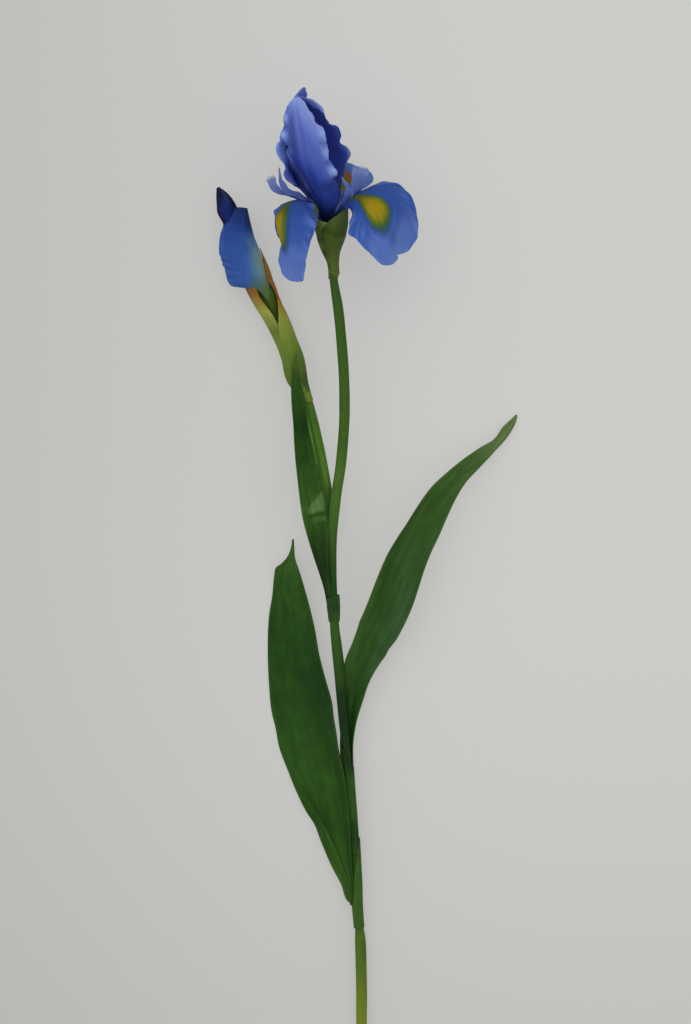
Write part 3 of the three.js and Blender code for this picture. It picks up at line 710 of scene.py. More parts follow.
def petal_pattern(stops, rim, vein_colour, seed, marks=None, slant=0.0):
    """Colours from a petal's foot to its tip, with painted highlights on the crests of its ruffled
    margin and on its fine pleats, and with darker veins. slant says how much farther the colours have
    come on its second side, and marks adds what only that petal has."""
    def pattern(across, along, place):
        bend = speckle(across * 3, along * 4, seed) * 0.08
        vein = speckle((across + bend) * 64, along * 2.6, seed + 5.0, 3)
        cells = speckle((across + bend) * 34, along * 30, seed + 1.0, 4)
        cloud = speckle(across * 5, along * 6, seed + 9.0, 3)
        grain = speckle(across * 150, along * 200, seed)
        side = abs(across - 0.5) * 2
        ruffle = speckle((along - side * 0.15) * 12, side * 1.2, seed + 2.0)
        pleat = speckle((along - side * 0.22) * 36, side * 2, seed + 3.0)
        margin = rise(side, 0.55, 1.0) * rise(along, 0.15, 0.35)
        ends = rise(along, 0.15, 0.38) * rise(along, 0.98, 0.84)
        colour = grade(along + (across - 0.5) * ends * slant + (cloud - 0.5) * 0.07, *stops)
        # Painted highlights: the rim colour lies on the crests of the margin's ruffles, and the pleats
        # are lightened to go with their relief.
        colour = paint(colour, (rim, margin * rise(ruffle, 0.45, 0.62) * 0.6),
                       (1.25, margin * rise(pleat, 0.42, 0.66) * 0.6),
                       (vein_colour, rise(vein, 0.5, 0.72) * 0.38),
                       (0.8, rise(cells, 0.48, 0.66) * 0.5))
        if marks:
            colour = marks(colour, across, along, vein, cloud)
        height = vein * 0.22 + cloud * 0.25 + cells * 0.12 + grain * 0.04
        height = height + (pleat * 0.4 + ruffle * 0.8) * margin
        return colour, 0.58 + 0.15 * vein, height
    return pattern


def petal_material(name, *pattern):
    return new_material(name, petal_pattern(*pattern), gloss=0.14)


# ---- standards ----
# Three upright inner petals close over the heart of the flower. Their outer face is soft violet-
# blue and paler at the top, their inner face is dark, and they deepen to navy at the foot.
standard_ring, standard_half_foot = 4.2, 2


def front_marks(colour, across, along, vein, cloud):
    """Two soft creases up the front standard, darkened as painted shade, a pinker bloom between them,
    and painted highlights on a few ruffles of its margins. Painted shade also darkens the lower part of
    its left margin, where it curls away, the dips between the ruffles on its right, and a fold that
    crosses the lower right."""
    left = band(across - 0.16 - along * 0.06, 0.0, 0.13) * rise(along, 0.3, 0.5)
    right = band(across - 0.36 - along * 0.08, 0.0, 0.07) * rise(along, 0.25, 0.5)
    creases = (left + right * 0.7) * rise(along, 0.95, 0.75)
    pink = band(across, 0.34, 0.16) * rise(along, 0.55, 0.75) * rise(cloud, 0.35, 0.65)
    right_ruffles = band(along, 0.71, 0.05) + band(along, 0.57, 0.06) + band(along, 0.43, 0.06)
    left_ruffles = band(along, 0.83, 0.06) + band(along, 0.71, 0.05) + 0.4 * band(along, 0.6, 0.06)
    pale = rise(across, 0.76, 0.95) * right_ruffles + rise(across, 0.16, 0.04) * left_ruffles
    dips = band(along, 0.64, 0.03) + band(along, 0.5, 0.03) + band(along, 0.36, 0.04)
    fold = rise(across + (cloud - 0.5) * 0.1, 0.4, 0.6) * band(along, 0.325, 0.075)
    return paint(colour, (0.64, creases * (0.45 + cloud)),
                 ((104, 106, 184), pink * 0.35),
                 ((84, 104, 184), band(across, 0.4, 0.3) * band(along, 0.58, 0.14) * 0.25),
                 ((134, 158, 212), pale * 0.9),
                 (0.72, dips * rise(across, 0.7, 0.95)),
                 ((31, 46, 112), fold * 0.95),
                 ((11, 22, 76), rise(across, 0.17, 0.06) * rise(along, 0.52, 0.44)))


def left_marks(colour, across, along, vein, cloud):
    """Painted light on the left standard: its margin and tip are paler where they catch the light, and
    a painted patch of light brightens its shoulder where the front standard shades it.
    """
    pale = rise(across + (cloud - 0.5) * 0.2, 0.56, 0.85) * rise(along, 0.1, 0.3)
    shoulder = rise(across, 0.5, 0.68) * rise(along, 0.46, 0.53) * rise(along, 0.78, 0.7)
    return paint(colour, ((80, 98, 176), pale),
                 ((120, 146, 218), shoulder * (0.6 + 0.6 * cloud)),
                 ((112, 124, 190), rise(along, 0.86, 0.94)))


def right_marks(colour, across, along, vein, cloud):
    """The margin of the right standard is rolled over near its tip and shows its pale face. Its margin,
    which the light reaches, is painted duller than its middle as painted shade, and a paler patch lies
    on its margin halfway up.
    """
    pale = rise(across, 0.52, 0.42) * rise(along - across * 0.14, 0.8, 0.825)
    return paint(colour, ((46, 64, 138), rise(across, 0.34, 0.14)),
                 ((122, 138, 204), pale * (0.5 + 0.6 * cloud)),
                 ((96, 110, 168), rise(across, 0.14, 0.02) * band(along, 0.47, 0.1)))


standard_outer = petal_material(
    "standard_outer",
    ((0.02, 4, 11, 40), (0.12, 6, 16, 54), (0.21, 21, 38, 102), (0.29, 27, 45, 122),
     (0.38, 36, 55, 140), (0.46, 52, 70, 158), (0.54, 68, 85, 163), (0.62, 76, 92, 171),
     (0.71, 84, 101, 179), (0.79, 96, 114, 189), (0.88, 111, 129, 197), (0.98, 130, 147, 207)),
    (110, 130, 198), (56, 66, 152), 1.0, front_marks, 0.5)
standard_left_inner = petal_material(
    "standard_left_inner",
    ((0.05, 10, 20, 60), (0.3, 14, 30, 110), (0.6, 26, 46, 140), (0.9, 70, 90, 170)),
    (56, 78, 160), (18, 32, 110), 2.0, left_marks)
# Painted light: the inner face of the right standard is painted lighter and bluer over most of its
# length, against the shade of the front standard.
standard_right_inner = petal_material(
    "standard_right_inner",
    ((0.05, 20, 34, 90), (0.3, 42, 62, 154), (0.6, 43, 65, 164), (0.9, 50, 70, 164)),
    (58, 78, 150), (34, 52, 136), 3.0, right_marks)


def front_relief(u, v):
    folds = crease(u, v, [(-0.68, 0.2), (-0.5, 0.58), (-0.6, 0.95)], 0.12)
    folds = folds + 0.8 * crease(u, v, [(-0.2, 0.25), (-0.1, 0.63), (-0.1, 0.95)], 0.09)
    frills = frill(u, v, depth=0.6, waves=9.5, seed=31)
    return frills + 0.4 * wander(3 * u, 5 * v, 32) - folds


def side_relief(u, v):
    return frill(u, v, depth=0.8, waves=5.5, seed=37) + 0.6 * wander(3 * u, 6 * v, 38)


standard_front_guides = [
    [(-8.5, 6.5, 5.5), (-16, 26.5, 6), (-21.5, 43, 6), (-22.5, 50, 8), (-22, 55, 7.5),
     (-20.5, 58.5, 3), (-24, 62.5, 4.5), (-24.5, 68.5, 7.5), (-19.5, 74, 4), (-20, 79.5, 8.5),
     (-16.5, 83.5, 6), (-14.5, 88, 8.5), (-11.5, 90, 9), (-6.5, 92.5, 9)],
    [(-5, 8.5, 9), (-11, 28, 12.5), (-14.5, 44.5, 14.5), (-14.5, 57, 16), (-14, 69, 16),
     (-12.5, 79.5, 14.5), (-9.5, 87.5, 11.5), (-6.5, 92, 9.5)],
    [(-2, 8.5, 11), (-4, 26.5, 16), (-5.5, 42.5, 19), (-6.5, 56, 20), (-6, 70.5, 18.5),
     (-6.5, 82, 14.5), (-6.5, 89, 11), (-5.5, 92.5, 9)],
    [(1.5, 8, 10.5), (3, 25, 14.5), (1.5, 41, 16), (0.5, 54.5, 16.5), (0, 69.5, 15.5),
     (-2.5, 81.5, 13), (-5, 88.5, 11), (-5.5, 92, 9)],
    [(4.5, 6, 8.5), (8, 12, 8.5), (10, 17.5, 9), (10, 23, 9.5), (8.5, 27.5, 6.5), (11, 32, 10),
     (10, 36.5, 9.5), (7, 42, 6), (8, 46.5, 8.5), (7.5, 52.5, 6.5), (8.5, 58.5, 9), (7, 66, 7),
     (3, 72, 8.5), (1.5, 78, 8.5), (-1, 84.5, 10), (-4.5, 91.5, 9)],
]
standard_right_guides = [
    [(7, 12, -1.5), (9.5, 15.5, -2), (11, 22, -2.5), (11.5, 25.5, -4), (14, 29, -5.5),
     (16, 34, -5), (20, 38, -3), (24.5, 43.5, -0.5),
     (22.5, 49, -4), (18.5, 53.5, -6.5), (20, 58, -3), (19.5, 64.5, -4), (14.5, 67, -6),
     (12, 71, -2.5), (9.5, 81, 0.5), (4, 89, 2.5), (-4, 92.5, 3)],
    [(6, 12, -6), (9.5, 22.5, -7.5), (13, 32, -8.5), (19, 42, -5.5), (15, 54, -9),
     (15, 62.5, -7.5), (10, 74.5, -2.5), (5.5, 84.5, 2), (-4, 92, 3)],
    [(6, 12, -11.5), (9, 26.5, -15.5), (14.5, 41, -17), (12, 54.5, -18.5), (10, 69, -15.5),
     (4.5, 81, -7), (-4, 91.5, 2)],
    [(7, 12.5, -17.5), (7, 27.5, -26.5), (8, 43, -30.5), (8, 56, -30), (6, 70, -24.5),
     (2, 81.5, -17), (-4, 91, -2)],
    [(2.5, 13.5, -21), (0, 29.5, -29), (0, 44.5, -33.5), (-0.5, 58, -32.5), (1, 71, -26),
     (-1.5, 82, -18), (-4, 91, -2.5)],
]
standard_left_guides = [
    [(-6.5, 23, -20), (-6.5, 42, -29.5), (-4.5, 61, -31.5), (-2, 79, -24), (0, 89.5, -11),
     (1, 95.5, -1.5)],
    [(-10.5, 22, -15), (-14, 43.5, -26.5), (-13, 62.5, -30), (-8, 80.5, -24), (-3, 90, -13),
     (1, 97, -2)],
    [(-15, 21, -8), (-20, 32, -11), (-21, 48, -13), (-20.5, 60, -14.5),
     (-16, 74.5, -15), (-10.5, 85.5, -10.5), (-5, 93, -5.5), (1, 98, -2)],
    [(-15, 20.5, -3), (-20, 29, -3.5), (-24.5, 44, -4.5), (-26, 57, -4.5), (-22.5, 65, -7.5),
     (-18, 76, -8), (-13, 85.5, -5.5), (-6.5, 93.5, -2.5), (1, 98.5, -1.5)],
    [(-14.5, 20.5, -0.5), (-16.5, 26.5, -1.5), (-22, 30, -1.5), (-26.5, 34, -2), (-28, 39, -1),
     (-25.5, 42, -5), (-26, 45.5, -5.5), (-29, 51, -3), (-29.5, 58, -3), (-27.5, 62, -4.5),
     (-22.5, 64, -7), (-19.5, 72.5, -8), (-16, 81.5, -7), (-12.5, 89, -5), (-7.5, 93.5, -2.5),
     (-3.5, 97.5, -2), (0.5, 98.5, -1)],
]
standards = (("standard_front", 105, standard_front_guides, front_relief, standard_left_inner),
             ("standard_right", -15, standard_right_guides, side_relief, standard_right_inner),
             ("standard_left", 225, standard_left_guides, side_relief, standard_left_inner))
for node, azimuth, guides, relief, inner in standards:
    guides = footed(azimuth, standard_ring, standard_half_foot, guides)
    petal(node, "_petal", bloom, guides, relief, standard_outer, inner,
          across=64, along=110)

# ---- falls ----
# Three outer petals arch out of the tube and hang. Each has a yellow signal patch at its top with
# a green feathered fringe, and pale veins that fan out of it to the rounded blade.
fall_ring, fall_half_foot = 6.2, 2.2


def signal(centre, bend, width, low, high, crease_at, crease_end):
    """The marks of a fall: the yellow patch between low and high along it, its green fringe, and the
    darker blue that surrounds it. centre says where it is across the petal, and bend how much farther
    its lower end is. A soft crease of painted shade runs beside it at crease_at, as far as crease_end."""
    def marks(colour, across, along, vein, cloud):
        crease_shade = band(across, crease_at - 0.2 * rise(along, 0.68, 0.9), 0.17) * rise(along, 0.3, 0.44)
        crease_shade = crease_shade * rise(along, crease_end, crease_end - 0.15)
        length = (along - low) / (high - low) * 2.0 - 1.0
        aside = (across - centre - bend * rise(along, low + 0.16, low)) / width
        away = aside * aside + length * length + (vein - 0.5) * 1.2 + (cloud - 0.5) * 0.6
        return paint(colour, ((36, 62, 126), crease_shade * (0.2 + 0.6 * cloud)),
                     ((30, 54, 112), rise(away, 2.4, 1.3) * 0.6),
                     ((42, 78, 88), rise(away, 1.7, 1.1)),
                     ((62, 90, 34), rise(away, 1.3, 0.85)),
                     ((106, 108, 12), rise(away, 0.95, 0.5)),
                     ((150, 124, 10), rise(away, 0.6, 0.1) * (0.3 + cloud)),
                     ((136, 88, 12), rise(away, 0.7, 0.2) * rise(cloud, 0.5, 0.62) * 0.55),
                     ((50, 62, 22), rise(length, 0.0, -0.75) * rise(away, 1.5, 1.0) * 0.8))
    return marks


def left_fall_marks(colour, across, along, vein, cloud):
    """The signal of the left fall, and the green foot that shows beside the cup."""
    marks = signal(centre=0.47, bend=0.0, width=0.145, low=0.4, high=0.73,
                   crease_at=0.72, crease_end=0.55)
    return paint(marks(colour, across, along, vein, cloud),
                 ((52, 66, 30), rise(across, 0.92, 0.97) * rise(along, 0.48, 0.38)))


def back_marks(colour, across, along, vein, cloud):
    """The signal of the back fall, rusty orange at its upper end and olive below."""
    wide = rise(across, 0.26, 0.34) * rise(across, 0.74, 0.62)
    patch = wide * rise(along, 0.2, 0.3) * rise(along, 0.555, 0.52)
    return paint(colour, ((60, 108, 110), band(across, 0.62, 0.16) * band(along, 0.6, 0.1)),
                 ((90, 88, 24), patch),
                 ((124, 76, 22), patch * rise(along, 0.44, 0.52) * (0.4 + cloud)))


fall_inner_stops = ((0.1, 16, 28, 52), (0.22, 16, 34, 84), (0.3, 26, 50, 112), (0.4, 36, 66, 134),
                    (0.54, 44, 76, 148), (0.65, 53, 85, 158), (0.8, 80, 106, 176), (1.0, 90, 116, 182))
fall_outer = petal_material(
    "fall_outer",
    ((0.05, 40, 60, 90), (0.3, 50, 74, 138), (0.7, 64, 88, 156), (1.0, 78, 102, 170)),
    (92, 114, 178), (44, 62, 136), 4.0)
fall_right_inner = petal_material(
    "fall_right_inner", fall_inner_stops, (98, 122, 188), (40, 62, 140), 5.0,
    signal(centre=0.41, bend=0.14, width=0.13, low=0.3, high=0.73, crease_at=0.66, crease_end=1.0),
    -0.12)
fall_left_inner = petal_material(
    "fall_left_inner", fall_inner_stops, (96, 118, 184), (40, 62, 140), 6.0, left_fall_marks, -0.06)
fall_back_inner = petal_material(
    "fall_back_inner",
    ((0.1, 20, 40, 80), (0.4, 60, 92, 150), (0.7, 88, 112, 172), (1.0, 60, 86, 150)),
    (104, 128, 186), (46, 66, 142), 7.0, back_marks)


def fall_relief(u, v):
    return frill(u, v, depth=0.9, waves=4.5, seed=41) + 0.5 * wander(3 * u, 5 * v, 42)


fall_right_guides = [
    [(11.5, 5, 9.5), (14.5, 3.5, 14.5), (15.5, -1, 18.5), (14, -5, 22), (11.5, -9, 25.5),
     (9.5, -13.5, 28), (13.5, -17.5, 30.5), (16.5, -23, 31), (20, -28.5, 30.5), (24.5, -35, 29.5),
     (29.5, -41, 26), (35.5, -42.5, 24.5), (40, -41.5, 22), (42.5, -38.5, 21), (42, -36.5, 20.5)],
    [(11, 6.5, 10.5), (18, 6.5, 15.5), (23, 1, 22), (25.5, -8.5, 28), (27, -17.5, 31.5),
     (32, -28.5, 29.5), (37.5, -35, 25.5), (41.5, -36.5, 21.5)],
    [(10, 7.5, 9.5), (22.5, 10.5, 15), (33.5, 7, 20.5), (41, -1, 24.5), (42, -14, 26),
     (41.5, -25.5, 24.5), (41.5, -36, 21)],
    [(12.5, 8.5, 9), (22, 13, 11.5), (34, 14.5, 13.5), (46, 10.5, 15), (52.5, 0, 16),
     (53, -12.5, 17.5), (49.5, -24.5, 17), (44, -33.5, 18), (42, -36, 20)],
    [(14, 10, 7), (21.5, 13, 6.5), (29.5, 14.5, 5), (36.5, 16.5, 4), (46.5, 18, 3),
     (53.5, 15.5, 2), (59.5, 6.5, 2), (63, -3, 2.5), (64, -13.5, 2.5), (61, -23.5, 4),
     (56.5, -31.5, 6), (51.5, -36, 9.5), (45.5, -36.5, 14.5), (42.5, -36, 18.5)],
]
fall_left_guides = [
    [(-13, 15, 5), (-22.5, 18.5, 4.5), (-31, 17, 2), (-36.5, 15.5, -1), (-41, 14, -4),
     (-41.5, 9.5, -6), (-42, 3.5, -6.5), (-41, -5, -3.5), (-40.5, -10.5, -0.5), (-43, -15, 2),
     (-44, -21, 4.5), (-44, -28.5, 7.5), (-43.5, -34.5, 12.5), (-39.5, -39, 15),
     (-35.5, -40.5, 16)],
    [(-12, 13.5, 7.5), (-22, 18, 9), (-30, 17.5, 9), (-36, 14.5, 8), (-40.5, 9, 7),
     (-40.5, -0.5, 6), (-40, -10.5, 7.5), (-41.5, -20, 10.5), (-41, -29.5, 13.5),
     (-38.5, -37, 15.5), (-35, -40.5, 16.5)],
    [(-11.5, 12, 8.5), (-20, 17.5, 12), (-27.5, 17, 14), (-35.5, 11, 15), (-39.5, 3, 15.5),
     (-39.5, -6.5, 17), (-38, -17.5, 18.5), (-36, -30, 19), (-34, -41, 17)],
    [(-11, 11, 9.5), (-17.5, 15.5, 15), (-21, 12.5, 20), (-25, 5, 23.5), (-27.5, -4.5, 25),
     (-29.5, -16.5, 24), (-31, -29, 22.5), (-32, -41, 18)],
    [(-9, 9.5, 11), (-9.5, 12, 15.5), (-8.5, 7, 21), (-11, 0, 27), (-15, -8, 29),
     (-20.5, -16, 29), (-24.5, -25.5, 27.5), (-28.5, -36.5, 21.5), (-30, -41, 19)],
]
fall_back_guides = [
    [(12.5, 15.5, -18), (20, 14.5, -29), (28, 16, -37), (34, 18, -41.5), (38.5, 22, -43),
     (38.5, 25.5, -42.5), (36, 28.5, -43), (31, 26, -46.5), (24, 14, -47.5), (12, 5, -46.5)],
    [(11.5, 16.5, -18), (18, 18.5, -29.5), (25, 24, -38), (29.5, 28, -41), (31, 32, -43.5),
     (28, 27.5, -49), (20, 15, -50.3), (11, 4, -46.5)],
    [(9.5, 17.5, -17.5), (14.5, 23, -29), (19, 31, -38), (24, 37, -43), (24.5, 35.5, -47.5),
     (20, 25.5, -51.8), (14.5, 14.5, -51.2), (9, 2.5, -46.5)],
    [(7.5, 18, -17), (10.5, 26.5, -29), (13.5, 35, -39), (15.5, 38.5, -43.5), (14.5, 34, -48.5),
     (11, 25, -51.2), (7.5, 15, -50.3), (6.5, 2.5, -46)],
    [(3.5, 19, -17.5), (3, 30, -29), (0, 37, -41), (-3, 33.5, -46.5), (-5, 24.5, -47.5),
     (-3, 14.5, -46.5), (4, 4, -46)],
]
falls = (("fall_right", 45, fall_right_guides, fall_right_inner, 80, 120),
         ("fall_left", 165, fall_left_guides, fall_left_inner, 72, 110),
         ("fall_back", -75, fall_back_guides, fall_back_inner, 60, 90))
for node, azimuth, guides, inner, across, along in falls:
    guides = footed(azimuth, fall_ring, fall_half_foot, guides)
    petal(node, "_petal", bloom, guides, fall_relief, fall_outer, inner, across, along)

# ---- style arms ----
# Three petal-like arms of the pistil arch over the falls. They are pale lilac, and each ends in
# two upturned crests with a toothed margin.
style_half_foot = 1.3
style_lilac = petal_material(
    "style_lilac",
    ((0.3, 10, 20, 60), (0.42, 26, 40, 92), (0.52, 56, 72, 130), (0.66, 68, 84, 144),
     (0.82, 82, 97, 156), (1.0, 106, 120, 170)),
    (110, 126, 178), (62, 70, 140), 8.0)


def toothed(surface, depth, teeth=19):
    """Cuts the end of a surface back to a toothed line."""
    u, v = across_and_along(surface)
    cut = depth * (1 + np.sin(teeth * u) + 0.4 * np.sin(2.3 * teeth * u))
    at = v * (1 - cut) * (len(surface) - 1)
    row = np.clip(at.astype(int), 0, len(surface) - 2)
    column = np.arange(surface.shape[1])[None, :]
    share = (at - row)[:, :, None]
    return surface[row, column] * (1 - share) + surface[row + 1, column] * share


def style_arm(node, azimuth, crests):
    """A style arm whose two crests are blades with a common foot, one lying over the other. Each
    crest is the ring its foot is on, how deep its teeth are, and its guides."""
    blades = []
    for ring, depth, guides in crests:
        surface = loft(footed(azimuth, ring, style_half_foot, guides), across=40, along=80)
        surface = toothed(surface, depth)
        u, v = across_and_along(surface)
        keel = 0.4 * np.exp(-((u / 0.2) ** 2)) * np.sin(np.pi * v)
        height = frill(u, v, depth=0.45, waves=4.5, seed=51) + keel + 0.3 * wander(3 * u, 5 * v, 52) * v
        surface = raised(surface, height)
        blade = bent_grid(node + "_crest", set_on(surface, *bloom), style_lilac)
        thicken(blade, petal_thickness)
        blades.append(blade)
    finished(joined(blades, node + "_petal"), node)


style_arm("style_arm_right", 45, (
    (1.9, 0.02, [
        [(12, 8.5, 9), (16.5, 11.5, 11.5), (19, 15, 13.5), (19.5, 20, 13.5), (21, 25.5, 14),
         (22, 30, 13), (24, 34, 11)],
        [(14, 9, 9), (19, 12.5, 11), (23, 16, 12), (25, 20.5, 12.5), (27, 26, 12.5),
         (28, 29.5, 11.5), (29, 33, 10)],
        [(16, 9.5, 7.5), (20.5, 12.5, 9), (26, 15.5, 10), (29, 18.5, 11), (32, 23.5, 11),
         (34.5, 28, 10.5), (33.5, 31, 10)]]),
    (2.5, 0, [
        [(9.5, 9, 10.5), (10.5, 11.5, 12.5), (13, 14.5, 14.5), (14.5, 17.5, 15), (14.5, 20, 15.5),
         (14, 24, 16), (14, 28, 15.5)],
        [(11, 8.5, 10), (14, 11.5, 12.5), (16, 14.5, 15), (16, 17, 15.5), (16, 20, 16),
         (15, 24, 16), (14.1, 28, 15.5)],
        [(13.5, 9, 8.5), (17.5, 11, 11.5), (19.5, 14.5, 13.5), (19.5, 17.5, 14), (18, 20.5, 15),
         (16, 24, 15.5), (14.2, 28, 15.5)]])))
style_arm("style_arm_left", 165, (
    (1.9, 0.025, [
        [(-14, 14.5, 9), (-19, 19, 11), (-23.5, 21.5, 12), (-28, 23.5, 13), (-31, 25.5, 13.5),
         (-33, 29.5, 13), (-34.5, 33, 12.5), (-34.5, 37.5, 11.5), (-35.5, 40, 11)],
        [(-13, 13.5, 9.5), (-18.5, 18, 11.5), (-23, 20.5, 12.5), (-28, 23, 14), (-31.5, 25, 14),
         (-35, 28.5, 14), (-37, 32, 13.5), (-37.5, 35.5, 12.5), (-38.5, 39.5, 12)],
        [(-12.5, 12.5, 8.5), (-18, 16, 10), (-22, 19, 11.5), (-27, 21.5, 12.5), (-31, 24, 13),
         (-35.5, 26, 14), (-39, 29, 14), (-40.5, 34, 14), (-41.5, 38, 12.5)]]),
    (2.5, 0, [
        [(-11, 15, 9), (-16.5, 20.5, 10), (-20, 23.5, 11.5), (-23.5, 25.5, 13.5), (-26.5, 28, 14.5),
         (-28, 32, 15), (-29.5, 34.5, 15), (-30, 38.5, 14), (-29.7, 44, 11.5)],
        [(-12, 14, 10), (-17, 19, 12), (-21.5, 22.5, 13.5), (-25.5, 24.5, 14.5), (-28.5, 27, 15.5),
         (-30, 30, 15.5), (-31, 34, 15), (-30.5, 38.5, 14), (-30, 44, 11.5)],
        [(-13, 13.5, 10), (-18.5, 17.5, 12.5), (-23, 21, 14), (-27, 23, 15), (-30.5, 25, 15.5),
         (-32, 29, 15.5), (-32.5, 33, 15), (-31.5, 39, 13.5), (-30.3, 44, 11.5)]])))
style_arm("style_arm_back", -75, (
    (1.9, 0.02, [
        [(4.5, 7.5, -9.5), (9.5, 15, -18.5), (15, 26, -24), (20, 36, -29), (22, 44, -32)],
        [(4, 7.5, -9.8), (8, 15, -19), (13, 26, -25), (18, 36.5, -31), (20, 45, -34)],
        [(3.5, 7.5, -10), (6.5, 15, -19), (10, 26, -26), (15, 36.5, -33), (17, 44, -35)]]),
    (2.5, 0.02, [
        [(3, 7.5, -10), (6.5, 15, -19.5), (9, 26, -26.5), (13, 36, -33.5), (15, 45, -35.5)],
        [(2, 7.5, -10.2), (5, 15.5, -19.5), (6.5, 26.5, -27), (9.5, 36.5, -34), (12, 44.5, -35.5)],
        [(1, 7.5, -10), (3, 16, -19), (4, 27, -27), (6, 37, -33), (9, 44, -35)]])))

# ---- stamens ----
# One stamen lies under each style arm: a thin pale stalk with a long anther, which has a groove
# down its middle and is dusty with pollen.
stamen_ring = 4
stamen_sizes = (0.5, 0.5, 0.5, 1, 0.8)


def stamen_pattern(across, along, place):
    dust = speckle(across * 20, along * 90, 6.0, 4)
    colour = grade(along, (0.5, 150, 150, 178), (0.62, 150, 132, 84))
    colour = paint(colour, ((186, 166, 108), rise(dust, 0.5, 0.7) * rise(along, 0.58, 0.64)))
    return colour, 0.7 + 0.1 * dust, dust * 0.25


stamen_cream = new_material("stamen_cream", stamen_pattern, gloss=0.2)
stamen_routes = (("stamen_right", 45, [(9.6, 9.6, 6.6), (13.4, 12, 9.4), (17.5, 13.6, 12)]),
                 ("stamen_left", 165, [(-9.2, 12.7, 3.3), (-15.4, 16.1, 6.8), (-20.5, 17.6, 9.8)]),
                 ("stamen_back", -75, [(4.4, 7.5, -13.5), (7.6, 14, -22.3), (9.6, 21, -28)]))
for node, azimuth, route in stamen_routes:
    route = set_on(np.array(footed(azimuth, stamen_ring, 0, [route])[0], float), *bloom)
    surface = tube([[*point, size] for point, size in zip(route, stamen_sizes)], around=24, along=60)
    u, v = across_and_along(surface)
    groove = 0.25 * np.exp(-((u / 0.12) ** 2)) * (v > 0.6)
    stamen = bent_grid(node + "_stalk", capped(raised(surface, -groove)), stamen_cream, closed=True)
    finished(stamen, node)

# ---- valves of the bud ----
# Two long valves wrap the bud's tube and end in points beside it. They are straw green, and dry
# to orange-brown paper at their points and along their edges.


def bud_valve_pattern(*stops):
    def pattern(across, along, place):
        streaks = speckle(across * 40, along * 2.2, 3.0, 3)
        patches = speckle(across * 5, along * 7, 8.0, 3)
        edge = rise(abs(across - 0.5), 0.4, 0.5) * rise(along, 0.66, 0.85)
        green = paint(grade(along + (streaks - 0.5) * 0.12, *stops),
                      (1.3, rise(streaks, 0.5, 0.8) * 0.6),
                      (0.7, rise(patches, 0.5, 0.75) * 0.6),
                      ((134, 84, 26), edge * 0.8),
                      ((98, 118, 46), rise(along, 0.068, 0.056)))
        return green, 0.55 + 0.15 * streaks, streaks * 0.3 + patches * 0.3
    return pattern


# The darker stop at 0.12 is painted shade just above the pale hem.
bud_valve_right_straw = new_material("bud_valve_right_straw", bud_valve_pattern(
    (0.04, 74, 94, 36), (0.12, 58, 78, 25), (0.21, 70, 92, 30), (0.29, 80, 103, 34),
    (0.38, 98, 117, 42), (0.46, 115, 130, 52), (0.54, 134, 138, 56), (0.61, 142, 116, 42),
    (0.68, 138, 88, 22), (0.8, 132, 88, 28), (0.92, 138, 102, 52)), gloss=0.14)
bud_valve_left_straw = new_material("bud_valve_left_straw", bud_valve_pattern(
    (0.0, 76, 98, 34), (0.2, 80, 102, 34), (0.38, 95, 114, 44), (0.46, 104, 120, 48),
    (0.54, 92, 110, 38), (0.62, 114, 126, 52), (0.71, 142, 146, 66), (0.79, 138, 122, 58),
    (0.87, 124, 88, 36), (1.0, 116, 80, 40)), gloss=0.14)
bud_right_stations = [
    [-44.9, 157.6, 18.4, 4.2, 160, -120], [-49.8, 169.3, 18, 5.4, 158, -118],
    [-53.4, 177, 17.5, 7.4, 152, -112], [-56.9, 192, 16.6, 8, 142, -102],
    [-62.4, 205, 16, 8.3, 116, -94], [-66.8, 215, 15.9, 8.9, 95, -76], [-71.6, 225, 15.7, 9.2, 62, -60],
    [-74.2, 230, 15.6, 9.4, 45, -66], [-77.2, 236.5, 15.5, 9.7, 30, -74],
    [-79.2, 242, 15.5, 9.9, 36, -74], [-81.4, 247, 15.4, 10.2, 50, -64],
    [-85, 258, 15.2, 10.1, 42, -34], [-88, 266, 15, 9.6, 27, 2], [-90.5, 272.5, 15, 9.2, 15, 9],
]
bud_left_stations = [
    [-46.4, 163, 18.1, 4.1, 315, 35], [-50.8, 169.3, 18, 5.7, 313, 37],
    [-54.6, 177, 17.5, 7.2, 307, 43], [-57.8, 192, 16.6, 7.5, 297, 53], [-62.4, 205, 16, 7.4, 288, 66],
    [-66.8, 215, 15.9, 7.8, 275, 88], [-71.4, 225, 15.7, 8.6, 258, 96],
    [-78, 239, 15.5, 10.4, 235, 112], [-82, 249, 15.3, 11.4, 215, 117],
    [-84.5, 256, 15.2, 10.8, 185, 150],
]
valve("bud_valve_r", "bud_valve_right", bud_valve_right_straw, bud_right_stations,
      hem=(0.004, 9), foot=(0.01, 5), depth=0.3, seed=61)
valve("bud_valve_l", "bud_valve_left", bud_valve_left_straw, bud_left_stations,
      hem=(0.004, 8), foot=(0.01, 6), depth=0.25, seed=65)

# ---- tube of the bud ----
# The narrow tube under the rolled petals shows in the opening of the valves. It is green and turns
# teal and then blue towards the petals.


def bud_tube_pattern(across, along, place):
    streaks = speckle(across * 26, along * 4, 3.0, 3)
    colour = grade(along, (0.3, 50, 70, 12), (0.6, 60, 80, 20), (0.75, 72, 96, 50), (0.88, 80, 108, 96))
    colour = paint(colour, ((92, 112, 50), rise(streaks, 0.55, 0.8) * 0.35))
    return colour, 0.5 + 0.15 * streaks, streaks * 0.25


